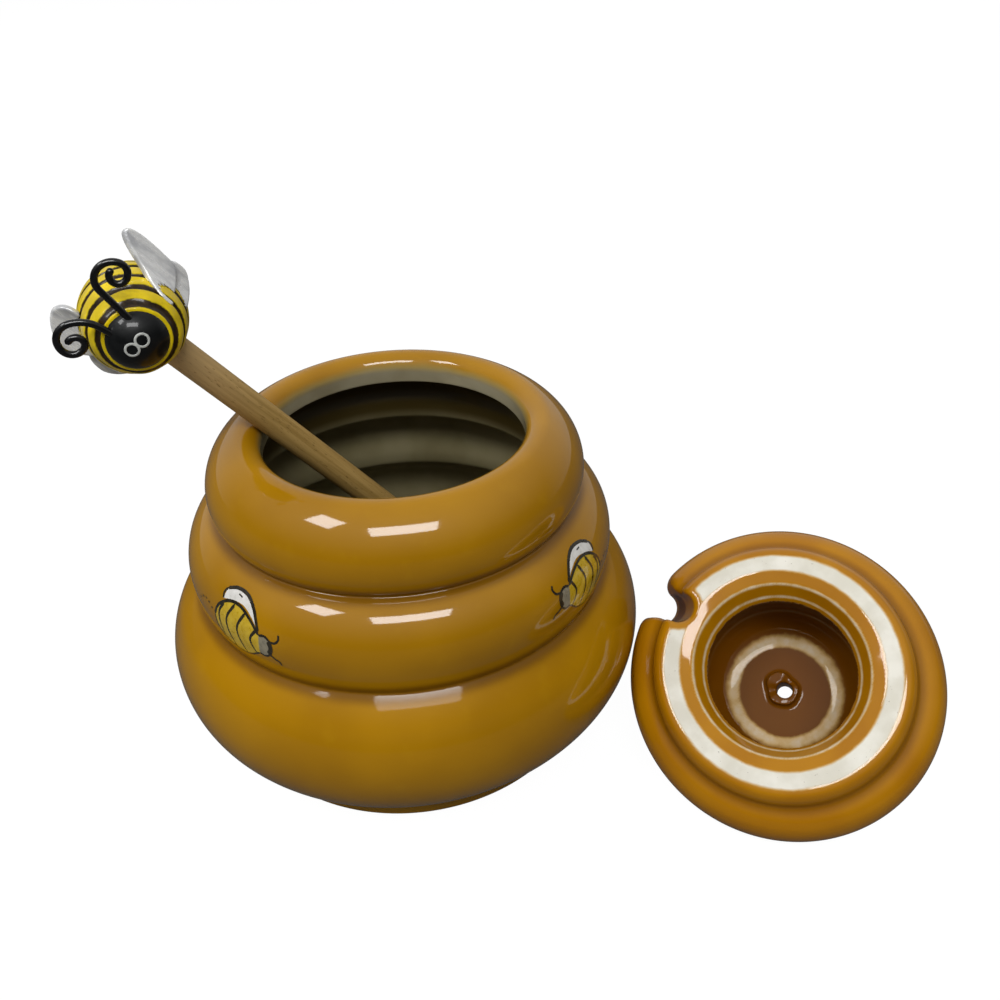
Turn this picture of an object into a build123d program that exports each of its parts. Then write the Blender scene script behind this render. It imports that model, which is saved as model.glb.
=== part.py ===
from build123d import *
import math
import os

# Honey pot: a slip-cast beehive pot, its loose lid, and a wooden dipper with a bee on its end.
# Millimetres, +Z up. The origin is the middle of the foot ring, on the surface that it stands on.
# The pot is open: the dipper leans on its lip and the lid lies upside down beside it.

# ---------------------------------------------------------------- driving dimensions
# Each lobe has its greatest radius, how far that radius lies above the one of the lobe below it,
# and how far it curves (inwards, upwards) above that height and (inwards, downwards) below it.
# A lobe that carries another curves in to `tuck` inside the radius of the one on top of it.
LOWER_LOBE = dict(radius=57.5, rise=25.0, tuck=15.1, dome=20.4, below=(16.4, 18.6))
MIDDLE_LOBE = dict(radius=50.2, rise=24.5, tuck=5.2, dome=12.5, below=(10.9, 14.2))
UPPER_LOBE = dict(radius=43.7, rise=17.5, above=(16.7, 14.1), below=(16.7, 11.6))
POT_WALL = 4.4
POT_FLOOR_HEIGHT = 7.5
POT_CREASE_ROUND = 0.9
POT_INNER_ROUND = 0.8
MOUTH_INSET = 13.5
THROAT_RISE = 5.4
LIP_ROUND = 3.9
FOOT_RADIUS = 45.3
FOOT_WIDTH = 5.5
FOOT_RECESS = 2.4
FOOT_ROUND = 1.2

# Lid, in its own frame: the rim of its flange is at height 0 and its dome points up.
MOUTH_RADIUS = UPPER_LOBE["radius"] - MOUTH_INSET
LID_OVERHANG = 5.1
DOME_RADIUS = 23.0
RIM_LOBE = dict(radius=MOUTH_RADIUS + LID_OVERHANG, rise=11.5, tuck=-3.3, dome=7.5, below=(6.0, 6.9))
DOME_LOBE = dict(radius=DOME_RADIUS, rise=8.5, above=(DOME_RADIUS, 12.2), below=(3.0, 4.0))
LID_WALL = 4.0
LID_CREASE_ROUND = 0.8
LID_INNER_ROUND = 1.4
FLANGE_CLEARANCE = 1.5
FLANGE_SHOULDER = 3.0
RING_WIDTH = 6.3
RING_INNER_RADIUS = MOUTH_RADIUS - FLANGE_CLEARANCE - RING_WIDTH
DRAIN_TAPER = 6.0
DRAIN_RADIUS = RING_INNER_RADIUS - DRAIN_TAPER
DRAIN_DEPTH = 6.2
DRAIN_SHELF_WIDTH = 3.1
DRAIN_SHELF_RISE = 0.9
DRAIN_ROUND = 1.4
DOME_ROOF_FLAT = 10.0
VENT_RADIUS = 1.9
VENT_BOSS_WALL = 1.9
VENT_BOSS_HEIGHT = 1.8

# Notch through the lid's rim, for the dipper's stick.
NOTCH_CLEARANCE = 0.35
NOTCH_INSET = 4.1
NOTCH_CENTRE = RIM_LOBE["radius"] - NOTCH_INSET
NOTCH_HORN_ROUND = 5.0
NOTCH_WALL = 3.6
NOTCH_SLANT = 24.0

# Dipper: one turned piece of wood.
STICK_RADIUS = 3.25
DIPPER_HEAD_RADIUS = 9.5
DIPPER_HEAD_LENGTH = 30.0
DIPPER_GROOVES = 6
DIPPER_GROOVE_WIDTH = 2.2
DIPPER_CORE_RADIUS = 5.0
DIPPER_REACH = 74.0
BEE_REACH = 39.6

# Bee, in its own frame: nose towards -Y, back towards +Z. The stick ends at its origin.
BEE_BODY_RADIUS = 10.7
BEE_BODY_SETBACK = 2.5
BEE_NOSE_LENGTH = 18.0
BEE_TAIL_LENGTH = 12.5
BEE_FACE_FORWARD = 11.8
BEE_STRIPES = [-10.7, -7.0, -2.8, 1.5, 5.8, 9.8]
BEE_STRIPE_RADIUS = 0.8
BEE_STRIPE_DEPTH = 0.5
BEE_HEAD_RADIUS = 6.5
BEE_HEAD_DEPTH = 5.8
BEE_HEAD_FORWARD = 9.5
STICK_FIT = 0.05
GLUE_GAP = 0.03

# Wings: two cupped blades moulded in one, each wing by hand. An outline runs outwards and upwards
# from the wing's root on the bee's side, in a plane swept back by an angle.
WING_THICKNESS = 1.5
WING_CUP_RADIUS = 7.0
WING_CUP_DEPTH = 1.0
HIND_WING_SETBACK = 1.3
RIGHT_WING = dict(root=(8.9, -6.5), sweep=48.0,
                  fore=[(-2.5, -0.8), (-0.6, 2.6), (1.6, 6.0), (4.6, 12.0), (6.9, 13.6), (8.1, 11.6),
                        (8.0, 5.5), (7.3, 1.4), (3.2, -1.0)],
                  hind=[(-1.0, -0.4), (4.5, 3.6), (8.4, 3.2), (9.1, -0.2), (7.3, -3.2), (4.7, -4.8),
                        (2.2, -4.9), (0.6, -2.6)])
LEFT_WING = dict(root=(8.0, -2.5), sweep=15.0,
                 fore=[(-2.5, 0.0), (-2.8, 6.0), (-2.2, 10.8), (0.2, 12.5), (2.6, 11.6), (4.7, 9.0),
                       (5.5, 6.2), (4.6, 2.6), (1.5, -1.0)],
                 hind=[(-1.0, 0.6), (3.2, 1.8), (5.0, 0.3), (5.5, -2.7), (4.8, -5.0), (3.2, -6.8),
                       (1.0, -7.7), (-1.0, -6.4)])

# Antennae: wire curled in one plane, each a run and then arcs of (radius, turn).
ANTENNA_FORWARD = 12.7
ANTENNA_WIRE_RADIUS = 0.7
ANTENNA_SOCKET_FIT = 0.03
RIGHT_ANTENNA = dict(root=(2.4, 3.4), heading=85.3, run=8.2,
                     curls=[(3.3, -149.0), (2.2, -113.0), (1.55, -171.0)])
LEFT_ANTENNA = dict(root=(-1.7, 3.4), heading=99.5, run=3.4,
                    curls=[(6.3, 52.6), (3.2, 120.0), (2.35, 98.0), (1.5, 183.0)])

# Where the loose pieces lie while the pot is open.
REST_GAP = 0.3
DIPPER_HEADING = 32.1
DIPPER_LIP_BEARING = -178.3
BEE_SPIN = -97.5
BEE_PITCH = 8.6
LID_BEARING = -21.8
LID_TUCK = 0.7
LID_HEADING = -116.6
LID_NOTCH_TURN = 165.0

# Longer than any piece, for cutters that must run right through.
BEYOND = 200.0


def stack(*lobes):
    """Give each lobe its height, and each one that carries another how far it curves in above."""
    height = 0
    for lobe in lobes:
        height += lobe["rise"]
        lobe["height"] = height
    for lobe, carried in zip(lobes, lobes[1:]):
        lobe["above"] = (lobe["radius"] - carried["radius"] + lobe["tuck"], lobe["dome"])


stack(LOWER_LOBE, MIDDLE_LOBE, UPPER_LOBE)
stack(RIM_LOBE, DOME_LOBE)
THROAT_HEIGHT = UPPER_LOBE["height"] + THROAT_RISE


# ---------------------------------------------------------------- half sections
def lobe_section(lobe, thinner=0.0, roof=None, floor=None, roof_run=None, floor_run=None):
    """Half section of a lobe, from the axis outwards, or of the hollow inside its wall."""
    radius = lobe["radius"] - thinner
    height = lobe["height"]
    run_above = lobe["above"][0] - thinner if roof_run is None else roof_run
    run_below = lobe["below"][0] - thinner if floor_run is None else floor_run
    top = height + lobe["above"][1] - thinner if roof is None else roof
    bottom = height - lobe["below"][1] + thinner if floor is None else floor
    with BuildSketch(Plane.XZ) as section:
        with BuildLine():
            lower = EllipticalCenterArc((radius - run_below, height), run_below, height - bottom, -90)
            upper = EllipticalCenterArc((radius - run_above, height), run_above, top - height, 0)
            if radius > run_above:
                Line(upper @ 1, (0, top))
            Line((0, top), (0, bottom))
            Line((0, bottom), lower @ 0)
        make_face()
    return section.sketch


def block(inner, outer, low, high):
    """Rectangle of the half section, between two radii and two heights."""
    with BuildSketch(Plane.XZ) as section:
        with Locations(((inner + outer) / 2, (low + high) / 2)):
            Rectangle(outer - inner, high - low)
    return section.sketch


def polygon(*points):
    """Polygon of the half section, through (radius, height) points."""
    with BuildSketch(Plane.XZ) as section:
        with BuildLine():
            Polyline(*points, close=True)
        make_face()
    return section.sketch


def quarter(centre, run, rise):
    """Quarter of an ellipse about a centre, from its side round to its end."""
    x, y = centre
    pull = 4 / 3 * (math.sqrt(2) - 1)
    return Bezier((x + run, y), (x + run, y + pull * rise), (x + pull * run, y + rise), (x, y + rise))


def corners(section, low, high, inner=1.0, outer=BEYOND):
    """Corners of a half section inside a window of heights and radii."""
    return [v for v in section.vertices() if low < v.Z < high and inner < v.X < outer]


def crease_between(section, lower, upper):
    """The one corner where two neighbouring lobes meet."""
    inner = min(lower["radius"], upper["radius"]) - max(upper["below"][0], lower["above"][0])
    found = corners(section, lower["height"], upper["height"], inner=inner)
    return min(found, key=lambda v: v.X)


# ---------------------------------------------------------------- pot
def pot_lip_circle():
    """Radius and height of the middle of the lip's rounding, LIP_ROUND from throat and lobe."""
    run, rise = UPPER_LOBE["above"]
    crown = UPPER_LOBE["radius"] - run
    target = MOUTH_RADIUS + LIP_ROUND
    low, high = math.radians(10), math.radians(89)
    for _ in range(50):
        angle = (low + high) / 2
        normal = Vector(math.cos(angle) / run, 0, math.sin(angle) / rise).normalized()
        if crown + run * math.cos(angle) - LIP_ROUND * normal.X > target:
            low = angle
        else:
            high = angle
    return target, UPPER_LOBE["height"] + rise * math.sin(angle) - LIP_ROUND * normal.Z


def make_pot():
    """Three lobes, a foot ring and a rolled lip, hollow at an even wall, in one revolve."""
    lobes = [LOWER_LOBE, MIDDLE_LOBE, UPPER_LOBE]
    outer = lobe_section(LOWER_LOBE) + lobe_section(MIDDLE_LOBE) + lobe_section(UPPER_LOBE)
    creases = [crease_between(outer, lower, upper) for lower, upper in zip(lobes, lobes[1:])]
    necks = [crease.X - POT_WALL for crease in creases]
    outer = fillet(creases, POT_CREASE_ROUND)
    outer += block(0, FOOT_RADIUS, 0, POT_FLOOR_HEIGHT)

    hollow = lobe_section(LOWER_LOBE, POT_WALL, floor=POT_FLOOR_HEIGHT, floor_run=LOWER_LOBE["below"][0])
    hollow += lobe_section(MIDDLE_LOBE, POT_WALL)
    hollow += lobe_section(UPPER_LOBE, POT_WALL, roof=THROAT_HEIGHT,
                           roof_run=UPPER_LOBE["radius"] - POT_WALL - MOUTH_RADIUS)
    for neck, lower, upper in zip(necks, lobes, lobes[1:]):
        hollow += block(0, neck, lower["height"], upper["height"])
    soft = []
    for neck, lower, upper in zip(necks, lobes, lobes[1:]):
        soft += corners(hollow, lower["height"], upper["height"], neck - 0.1, neck + 0.1)
    hollow = fillet(soft, POT_INNER_ROUND)

    wall = outer - hollow - block(0, MOUTH_RADIUS, THROAT_HEIGHT - POT_INNER_ROUND, BEYOND)
    wall = fillet(corners(wall, THROAT_HEIGHT + 0.1, BEYOND, outer=MOUTH_RADIUS + 0.1), LIP_ROUND)
    wall -= block(0, FOOT_RADIUS - FOOT_WIDTH, 0, FOOT_RECESS)
    wall = fillet(corners(wall, -0.1, 0.1), FOOT_ROUND)
    return revolve(wall, Axis.Z)


# ---------------------------------------------------------------- lid
def notch_cutter(grow=0.0):
    """Slot for the stick, round at its inner end, flared between two horns, slanting outwards."""
    half_width = STICK_RADIUS + NOTCH_CLEARANCE
    horn_side = half_width + NOTCH_HORN_ROUND
    horn_round = NOTCH_HORN_ROUND - grow
    slot = half_width + grow
    diagonal = horn_round * math.sqrt(0.5)
    horn_end = NOTCH_CENTRE + horn_round
    far = NOTCH_CENTRE + RIM_LOBE["radius"]
    wide = RIM_LOBE["radius"]
    with BuildSketch() as plan:
        with BuildLine():
            ThreePointArc((NOTCH_CENTRE, slot), (NOTCH_CENTRE - slot, 0), (NOTCH_CENTRE, -slot))
            ThreePointArc((NOTCH_CENTRE, -slot), (NOTCH_CENTRE + diagonal, diagonal - horn_side),
                          (horn_end, -horn_side))
            Polyline((horn_end, -horn_side), (horn_end, -wide), (far, -wide), (far, wide),
                     (horn_end, wide), (horn_end, horn_side))
            ThreePointArc((horn_end, horn_side), (NOTCH_CENTRE + diagonal, horn_side - diagonal),
                          (NOTCH_CENTRE, slot))
        make_face()
    slant = math.radians(NOTCH_SLANT)
    way = Vector(math.sin(slant), 0, math.cos(slant))
    below = way * (-1.2 * RIM_LOBE["height"] / way.Z)
    start = Pos(below.X, 0, RIM_LOBE["height"] + below.Z) * plan.sketch
    return extrude(start, 4 * RIM_LOBE["height"], dir=way)


def lid_outside():
    """Solid shape of the lid: flange, rim lobe and dome, with the funnel into its underside."""
    flange = MOUTH_RADIUS - FLANGE_CLEARANCE
    seat = RIM_LOBE["height"] - RIM_LOBE["below"][1]
    with BuildSketch(Plane.XZ) as flange_section:
        with BuildLine():
            shoulder = CenterArc((flange - FLANGE_SHOULDER, FLANGE_SHOULDER), FLANGE_SHOULDER, -90, 90)
            Polyline(shoulder @ 1, (flange, seat + FLANGE_SHOULDER), (0, seat + FLANGE_SHOULDER),
                     (0, 0), shoulder @ 0)
        make_face()
    outer = lobe_section(RIM_LOBE) + lobe_section(DOME_LOBE)
    outer = fillet(crease_between(outer, RIM_LOBE, DOME_LOBE), LID_CREASE_ROUND) + flange_section.sketch
    outer -= polygon((0, -DRAIN_SHELF_RISE), (RING_INNER_RADIUS + DRAIN_SHELF_WIDTH, -DRAIN_SHELF_RISE),
                     (RING_INNER_RADIUS - DRAIN_SHELF_WIDTH, DRAIN_SHELF_RISE),
                     (DRAIN_RADIUS, DRAIN_DEPTH), (0, DRAIN_DEPTH))
    edges = corners(outer, -0.1, DRAIN_SHELF_RISE + 0.1, DRAIN_RADIUS, RING_INNER_RADIUS + 0.1)
    return revolve(fillet(edges, DRAIN_ROUND), Axis.Z)


def lid_hollow():
    """Space inside the lid, an even wall inside its outside."""
    rim_roof = RIM_LOBE["height"] + RIM_LOBE["above"][1] - LID_WALL
    dome_roof = DOME_LOBE["height"] + DOME_LOBE["above"][1] - LID_WALL
    neck = DOME_LOBE["radius"] - LID_WALL
    shelf = MOUTH_RADIUS - FLANGE_CLEARANCE - LID_WALL
    hollow = lobe_section(RIM_LOBE, LID_WALL) + block(0, shelf, DRAIN_DEPTH, RIM_LOBE["height"])
    hollow += block(0, neck, RIM_LOBE["height"], DOME_LOBE["height"])
    hollow += lobe_section(DOME_LOBE, LID_WALL, roof=dome_roof, floor=RIM_LOBE["height"],
                           roof_run=neck - DOME_ROOF_FLAT, floor_run=neck)
    soft = corners(hollow, DRAIN_DEPTH - 0.1, DRAIN_DEPTH + 0.1, shelf - 0.1)
    soft += corners(hollow, rim_roof - 0.1, rim_roof + 0.1, neck - 0.1, neck + 0.1)
    return revolve(fillet(soft, LID_INNER_ROUND), Axis.Z)


def make_lid():
    """Hollow lid with a drain funnel, a walled notch in its rim and a vent through its dome."""
    dome_roof = DOME_LOBE["height"] + DOME_LOBE["above"][1] - LID_WALL
    boss = Pos(0, 0, dome_roof - VENT_BOSS_HEIGHT) * Cylinder(
        VENT_RADIUS + VENT_BOSS_WALL, VENT_BOSS_HEIGHT + LID_WALL / 2, align=(Align.CENTER, Align.CENTER, Align.MIN))
    vent = Pos(0, 0, dome_roof - LID_WALL) * Cylinder(
        VENT_RADIUS, 3 * LID_WALL, align=(Align.CENTER, Align.CENTER, Align.MIN))
    hollow = lid_hollow() - notch_cutter(NOTCH_WALL) - boss
    return lid_outside() - notch_cutter() - hollow - vent


def lid_lean():
    """Angle and height at which the upturned lid stands on its rim and its dome at once."""
    def reach(lobe, angle):
        run, rise = lobe["above"]
        side, down = math.sin(angle), math.cos(angle)
        return (lobe["radius"] - run) * side + lobe["height"] * down + math.hypot(run * side, rise * down)

    low, high = math.radians(5), math.radians(80)
    for _ in range(50):
        angle = (low + high) / 2
        if reach(RIM_LOBE, angle) > reach(DOME_LOBE, angle):
            high = angle
        else:
            low = angle
    return angle, reach(RIM_LOBE, angle)


def lid_rest():
    """Plane of the flange's rim while the lid lies upside down beside the pot."""
    lean, height = lid_lean()
    bearing = math.radians(LID_BEARING)
    apart = LOWER_LOBE["radius"] + RIM_LOBE["radius"] - LID_TUCK
    heading = math.radians(LID_HEADING)
    turn = math.radians(LID_NOTCH_TURN)
    facing = Vector(math.sin(lean) * math.cos(heading), math.sin(lean) * math.sin(heading), math.cos(lean))
    level = Vector(-math.sin(heading), math.cos(heading), 0)
    across = level * math.cos(turn) + facing.cross(level) * math.sin(turn)
    centre = (apart * math.cos(bearing), apart * math.sin(bearing), height)
    return Plane(origin=centre, x_dir=across, z_dir=facing * -1)


# ---------------------------------------------------------------- dipper
def stick_length():
    """From the dipper's tip to the end that is glued into the bee."""
    return DIPPER_HEAD_LENGTH / 2 + DIPPER_REACH + BEE_REACH


def make_dipper_stick():
    """Stick with a turned, grooved head. Its own Z runs up the stick, from the tip at 0."""
    middle = DIPPER_HEAD_LENGTH / 2
    with BuildSketch(Plane.XZ) as head:
        with BuildLine():
            curve = EllipticalCenterArc((0, middle), DIPPER_HEAD_RADIUS, middle, -90, arc_size=180)
            Line(curve @ 1, curve @ 0)
        make_face()
    section = head.sketch
    pitch = DIPPER_HEAD_LENGTH / (DIPPER_GROOVES + 1)
    for number in range(DIPPER_GROOVES):
        groove = pitch * (number + 1)
        section -= block(DIPPER_CORE_RADIUS, DIPPER_HEAD_RADIUS + 1,
                         groove - DIPPER_GROOVE_WIDTH / 2, groove + DIPPER_GROOVE_WIDTH / 2)
    section += block(0, STICK_RADIUS, middle, stick_length() - GLUE_GAP)
    return revolve(section, Axis.Z)


def dipper_on_lip(lean):
    """Way up the stick, and the point of its axis over the lip, at a slope from level."""
    heading = math.radians(DIPPER_HEADING)
    bearing = math.radians(DIPPER_LIP_BEARING)
    up = Vector(-math.cos(lean) * math.cos(heading), -math.cos(lean) * math.sin(heading), math.sin(lean))
    lip_radius, lip_height = pot_lip_circle()
    lip = Vector(lip_radius * math.cos(bearing), lip_radius * math.sin(bearing), lip_height)
    along_lip = Vector(-math.sin(bearing), math.cos(bearing), 0)
    away = up.cross(along_lip).normalized()
    return up, lip + away * (LIP_ROUND + STICK_RADIUS + REST_GAP)


def dipper_lean():
    """Slope at which the stick lies on the lip while the dipper's head rests on the pot's floor."""
    low, high = math.radians(30), math.radians(80)
    for _ in range(50):
        lean = (low + high) / 2
        up, touch = dipper_on_lip(lean)
        head = touch - up * DIPPER_REACH
        reach = math.hypot(DIPPER_HEAD_LENGTH / 2 * math.sin(lean), DIPPER_HEAD_RADIUS * math.cos(lean))
        if head.Z - reach > POT_FLOOR_HEIGHT + REST_GAP:
            low = lean
        else:
            high = lean
    return lean


def dipper_rest():
    """Plane at the dipper's tip, Z up the stick, with the stick leaning on the pot's lip."""
    up, touch = dipper_on_lip(dipper_lean())
    tip = touch - up * (DIPPER_REACH + DIPPER_HEAD_LENGTH / 2)
    heading = math.radians(DIPPER_HEADING)
    spin = math.radians(BEE_SPIN)
    level = Vector(-math.sin(heading), math.cos(heading), 0)
    across = level * math.cos(spin) + up.cross(level) * math.sin(spin)
    return Plane(origin=tip, x_dir=across, z_dir=up)


# ---------------------------------------------------------------- bee
def bee_section(grow=0.0):
    """Half section of the bee's body about its own length: blunt in front, round behind."""
    radius = BEE_BODY_RADIUS + grow
    with BuildSketch() as section:
        with BuildLine():
            nose = quarter((0, BEE_BODY_SETBACK), radius, -BEE_NOSE_LENGTH - grow)
            tail = quarter((0, BEE_BODY_SETBACK), radius, BEE_TAIL_LENGTH + grow)
            Line(tail @ 1, nose @ 1)
        make_face()
        with Locations((0, -BEE_FACE_FORWARD - grow - BEE_NOSE_LENGTH)):
            Rectangle(4 * radius, 2 * BEE_NOSE_LENGTH, mode=Mode.SUBTRACT)
    return section.sketch


def bee_radius(station):
    """Radius of the bee's body at a distance along its own Y."""
    offset = station - BEE_BODY_SETBACK
    length = BEE_NOSE_LENGTH if offset < 0 else BEE_TAIL_LENGTH
    return BEE_BODY_RADIUS * math.sqrt(1 - (offset / length) ** 2)


def make_bee_body():
    """Ribbed egg with a flat face for the head and a blind bore for the stick."""
    section = bee_section()
    out = BEE_STRIPE_RADIUS - BEE_STRIPE_DEPTH
    for station in BEE_STRIPES:
        section -= Pos(bee_radius(station) + out, station) * Circle(BEE_STRIPE_RADIUS)
    bore = Cylinder(STICK_RADIUS + STICK_FIT, 2 * BEE_BODY_RADIUS,
                    align=(Align.CENTER, Align.CENTER, Align.MAX))
    return revolve(section, Axis.Y) - Rot(BEE_PITCH, 0, 0) * bore


def make_bee_head():
    """Flattened ball on the body's face, with a socket for each antenna."""
    with BuildSketch() as section:
        with BuildLine():
            front = quarter((0, -BEE_HEAD_FORWARD), BEE_HEAD_RADIUS, -BEE_HEAD_DEPTH)
            back = quarter((0, -BEE_HEAD_FORWARD), BEE_HEAD_RADIUS, BEE_HEAD_DEPTH)
            Line(back @ 1, front @ 1)
        make_face()
        with Locations((0, BEE_HEAD_DEPTH - BEE_FACE_FORWARD)):
            Rectangle(4 * BEE_HEAD_RADIUS, 2 * BEE_HEAD_DEPTH, mode=Mode.SUBTRACT)
    head = revolve(section.sketch, Axis.Y)
    for antenna in (RIGHT_ANTENNA, LEFT_ANTENNA):
        head -= antenna_wire(dict(antenna, curls=[]), ANTENNA_SOCKET_FIT)
    return head


def antenna_wire(antenna, grow=0.0):
    """Wire swept along a straight run and then its curls, in a plane across the bee's nose."""
    heading = math.radians(antenna["heading"])
    start = Vector(*antenna["root"])
    end = start + Vector(math.cos(heading), math.sin(heading)) * antenna["run"]
    with BuildLine() as flat:
        last = Line(start, end)
        for radius, turn in antenna["curls"]:
            last = JernArc(last @ 1, last % 1, radius, turn)
    path = Plane.XZ.offset(ANTENNA_FORWARD).location * flat.line
    profile = Plane(path @ 0, z_dir=path % 0) * Circle(ANTENNA_WIRE_RADIUS + grow)
    return sweep(profile, path=path)


def wing_blade(outline, setback, root):
    """Plate cut to an outline, cupped along its length, on a plane through the wing's root."""
    with BuildSketch() as leaf:
        with BuildLine():
            Spline(*outline, periodic=True)
        make_face()
    prism = extrude(leaf.sketch, WING_CUP_RADIUS, both=True)
    middle = sum(x for x, _ in outline) / len(outline)
    long_way = Cylinder(WING_CUP_RADIUS + WING_THICKNESS, BEYOND) - Cylinder(WING_CUP_RADIUS, BEYOND)
    trough = Pos(middle, 0, WING_CUP_RADIUS - WING_CUP_DEPTH) * (Rot(90, 0, 0) * long_way)
    back = Pos(0, 0, -WING_CUP_RADIUS) * Box(BEYOND, BEYOND, 2 * WING_CUP_RADIUS + 2 * WING_CUP_DEPTH)
    return root.location * (Pos(0, 0, -setback) * (prism & trough & back))


def make_wing(wing):
    """Fore and hind blade of a wing on the bee's right, trimmed to sit on the bee's body."""
    angle = math.radians(wing["sweep"])
    root = Plane(origin=(*wing["root"], 0), x_dir=(math.cos(angle), math.sin(angle), 0),
                 z_dir=(math.sin(angle), -math.cos(angle), 0))
    blades = wing_blade(wing["fore"], 0, root) + wing_blade(wing["hind"], HIND_WING_SETBACK, root)
    blades -= revolve(bee_section(GLUE_GAP), Axis.Y)
    return max(blades.solids(), key=lambda piece: piece.volume)


# ---------------------------------------------------------------- assembly
def build_all():
    """Every piece in the pot's frame, by the name of its node."""
    dipper = dipper_rest().location
    bee = dipper * Pos(0, 0, stick_length()) * Rot(-BEE_PITCH, 0, 0)
    return {
        "pot_body": make_pot(),
        "lid": lid_rest().location * make_lid(),
        "dipper_stick": dipper * make_dipper_stick(),
        "bee_body": bee * make_bee_body(),
        "bee_head": bee * make_bee_head(),
        "bee_wing_right": bee * make_wing(RIGHT_WING),
        "bee_wing_left": bee * mirror(make_wing(LEFT_WING), Plane.YZ),
        "bee_antenna_right": bee * antenna_wire(RIGHT_ANTENNA),
        "bee_antenna_left": bee * antenna_wire(LEFT_ANTENNA),
    }


os.makedirs("parts", exist_ok=True)
for name, piece in build_all().items():
    export_step(piece, f"parts/{name}.step")
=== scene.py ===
from math import atan2, copysign, cos, hypot, pi, radians, sin, sqrt, tan

import bpy
import numpy as np
from mathutils import Matrix


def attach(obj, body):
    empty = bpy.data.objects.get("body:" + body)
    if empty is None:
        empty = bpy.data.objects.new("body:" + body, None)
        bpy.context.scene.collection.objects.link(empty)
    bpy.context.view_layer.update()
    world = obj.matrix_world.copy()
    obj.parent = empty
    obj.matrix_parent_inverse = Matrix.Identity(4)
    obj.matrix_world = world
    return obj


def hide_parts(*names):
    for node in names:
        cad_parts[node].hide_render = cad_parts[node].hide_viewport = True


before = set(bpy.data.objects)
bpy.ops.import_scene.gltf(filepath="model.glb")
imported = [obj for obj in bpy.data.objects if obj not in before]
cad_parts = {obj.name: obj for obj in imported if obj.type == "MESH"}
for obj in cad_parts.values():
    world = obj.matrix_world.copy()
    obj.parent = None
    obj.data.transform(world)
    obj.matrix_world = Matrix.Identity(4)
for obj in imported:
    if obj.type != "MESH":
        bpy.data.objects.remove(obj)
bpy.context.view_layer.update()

# Everything is worked out in millimetres, in the CAD's frame, and scaled when a mesh is made.
MM = 0.001

# ---- sizes, as in the part's source
LOWER_LOBE = dict(radius=57.5, height=25.0, above=(22.4, 20.4), below=(16.4, 18.6))
MIDDLE_LOBE = dict(radius=50.2, height=49.5, above=(11.7, 12.5), below=(10.9, 14.2))
UPPER_LOBE = dict(radius=43.7, height=67.0, above=(16.7, 14.1), below=(16.7, 11.6))
POT_WALL = 4.4
POT_FLOOR = 7.5
MOUTH_RADIUS = 30.2
THROAT_HEIGHT = 72.4
LIP_ROUND = 3.9
FOOT_RADIUS = 45.3
FOOT_WIDTH = 5.5
FOOT_RECESS = 2.4

RIM_LOBE = dict(radius=35.3, height=11.5, above=(9.0, 7.5), below=(6.0, 6.9))
DOME_LOBE = dict(radius=23.0, height=20.0, above=(23.0, 12.2), below=(3.0, 4.0))
LID_WALL = 4.0
FLANGE_RADIUS = 28.7
FLANGE_SHOULDER = 3.0
RING_INNER = 22.4
DRAIN_RADIUS = 16.4
DRAIN_DEPTH = 6.2
SHELF_WIDTH = 3.1
SHELF_RISE = 0.9
DOME_ROOF_FLAT = 10.0
VENT_RADIUS = 1.9
BOSS_RADIUS = 3.8
BOSS_HEIGHT = 1.8
NOTCH_HALF = 3.6
NOTCH_CENTRE = 31.2
NOTCH_HORN = 5.0
NOTCH_WALL = 3.6
NOTCH_SLANT = radians(24.0)

STICK_RADIUS = 3.25
HEAD_RADIUS = 9.5
HEAD_LENGTH = 30.0
HEAD_GROOVES = 6
GROOVE_WIDTH = 2.2
CORE_RADIUS = 5.0
DIPPER_REACH = 74.0
BEE_REACH = 39.6

BEE_RADIUS = 10.7
BEE_SETBACK = 2.5
BEE_NOSE = 18.0
BEE_TAIL = 12.5
BEE_FACE = 11.8
BEE_STRIPES = [-10.7, -7.0, -2.8, 1.5, 5.8, 9.8]
STRIPE_RADIUS = 0.8
STRIPE_DEPTH = 0.5
FACE_RADIUS = 6.5
FACE_DEPTH = 5.8
FACE_FORWARD = 9.5

WING_THICKNESS = 1.5
WING_CUP_RADIUS = 7.0
WING_CUP_DEPTH = 1.0
HIND_SETBACK = 1.3
RIGHT_WING = dict(root=(8.9, -6.5), sweep=48.0,
                  fore=[(-2.5, -0.8), (-0.6, 2.6), (2.2, 6.2), (5.2, 12.2), (6.9, 13.6), (7.9, 11.4),
                        (8.0, 5.5), (7.3, 1.4), (3.2, -1.0)],
                  hind=[(-1.0, -0.4), (4.5, 3.6), (8.4, 3.2), (9.1, -0.2), (7.3, -3.2), (4.7, -4.8),
                        (2.2, -4.9), (0.6, -2.6)])
LEFT_WING = dict(root=(8.0, -2.5), sweep=15.0,
                 fore=[(-2.5, 0.0), (-2.8, 6.0), (-2.2, 10.8), (0.2, 12.5), (2.6, 11.6), (4.7, 9.0),
                       (5.5, 6.2), (4.6, 2.6), (1.5, -1.0)],
                 hind=[(-1.0, 0.6), (3.2, 1.8), (5.0, 0.3), (5.5, -2.7), (4.8, -5.0), (3.2, -6.8),
                       (1.0, -7.7), (-1.0, -6.4)])

WIRE_FORWARD = 12.7
WIRE_RADIUS = 0.7
RIGHT_ANTENNA = dict(root=(2.4, 3.4), heading=85.3, run=8.2,
                     curls=[(3.3, -149.0), (2.2, -113.0), (1.55, -171.0)])
LEFT_ANTENNA = dict(root=(-1.7, 3.4), heading=99.5, run=3.4,
                    curls=[(6.3, 52.6), (3.2, 120.0), (2.35, 98.0), (1.5, 183.0)])

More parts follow.
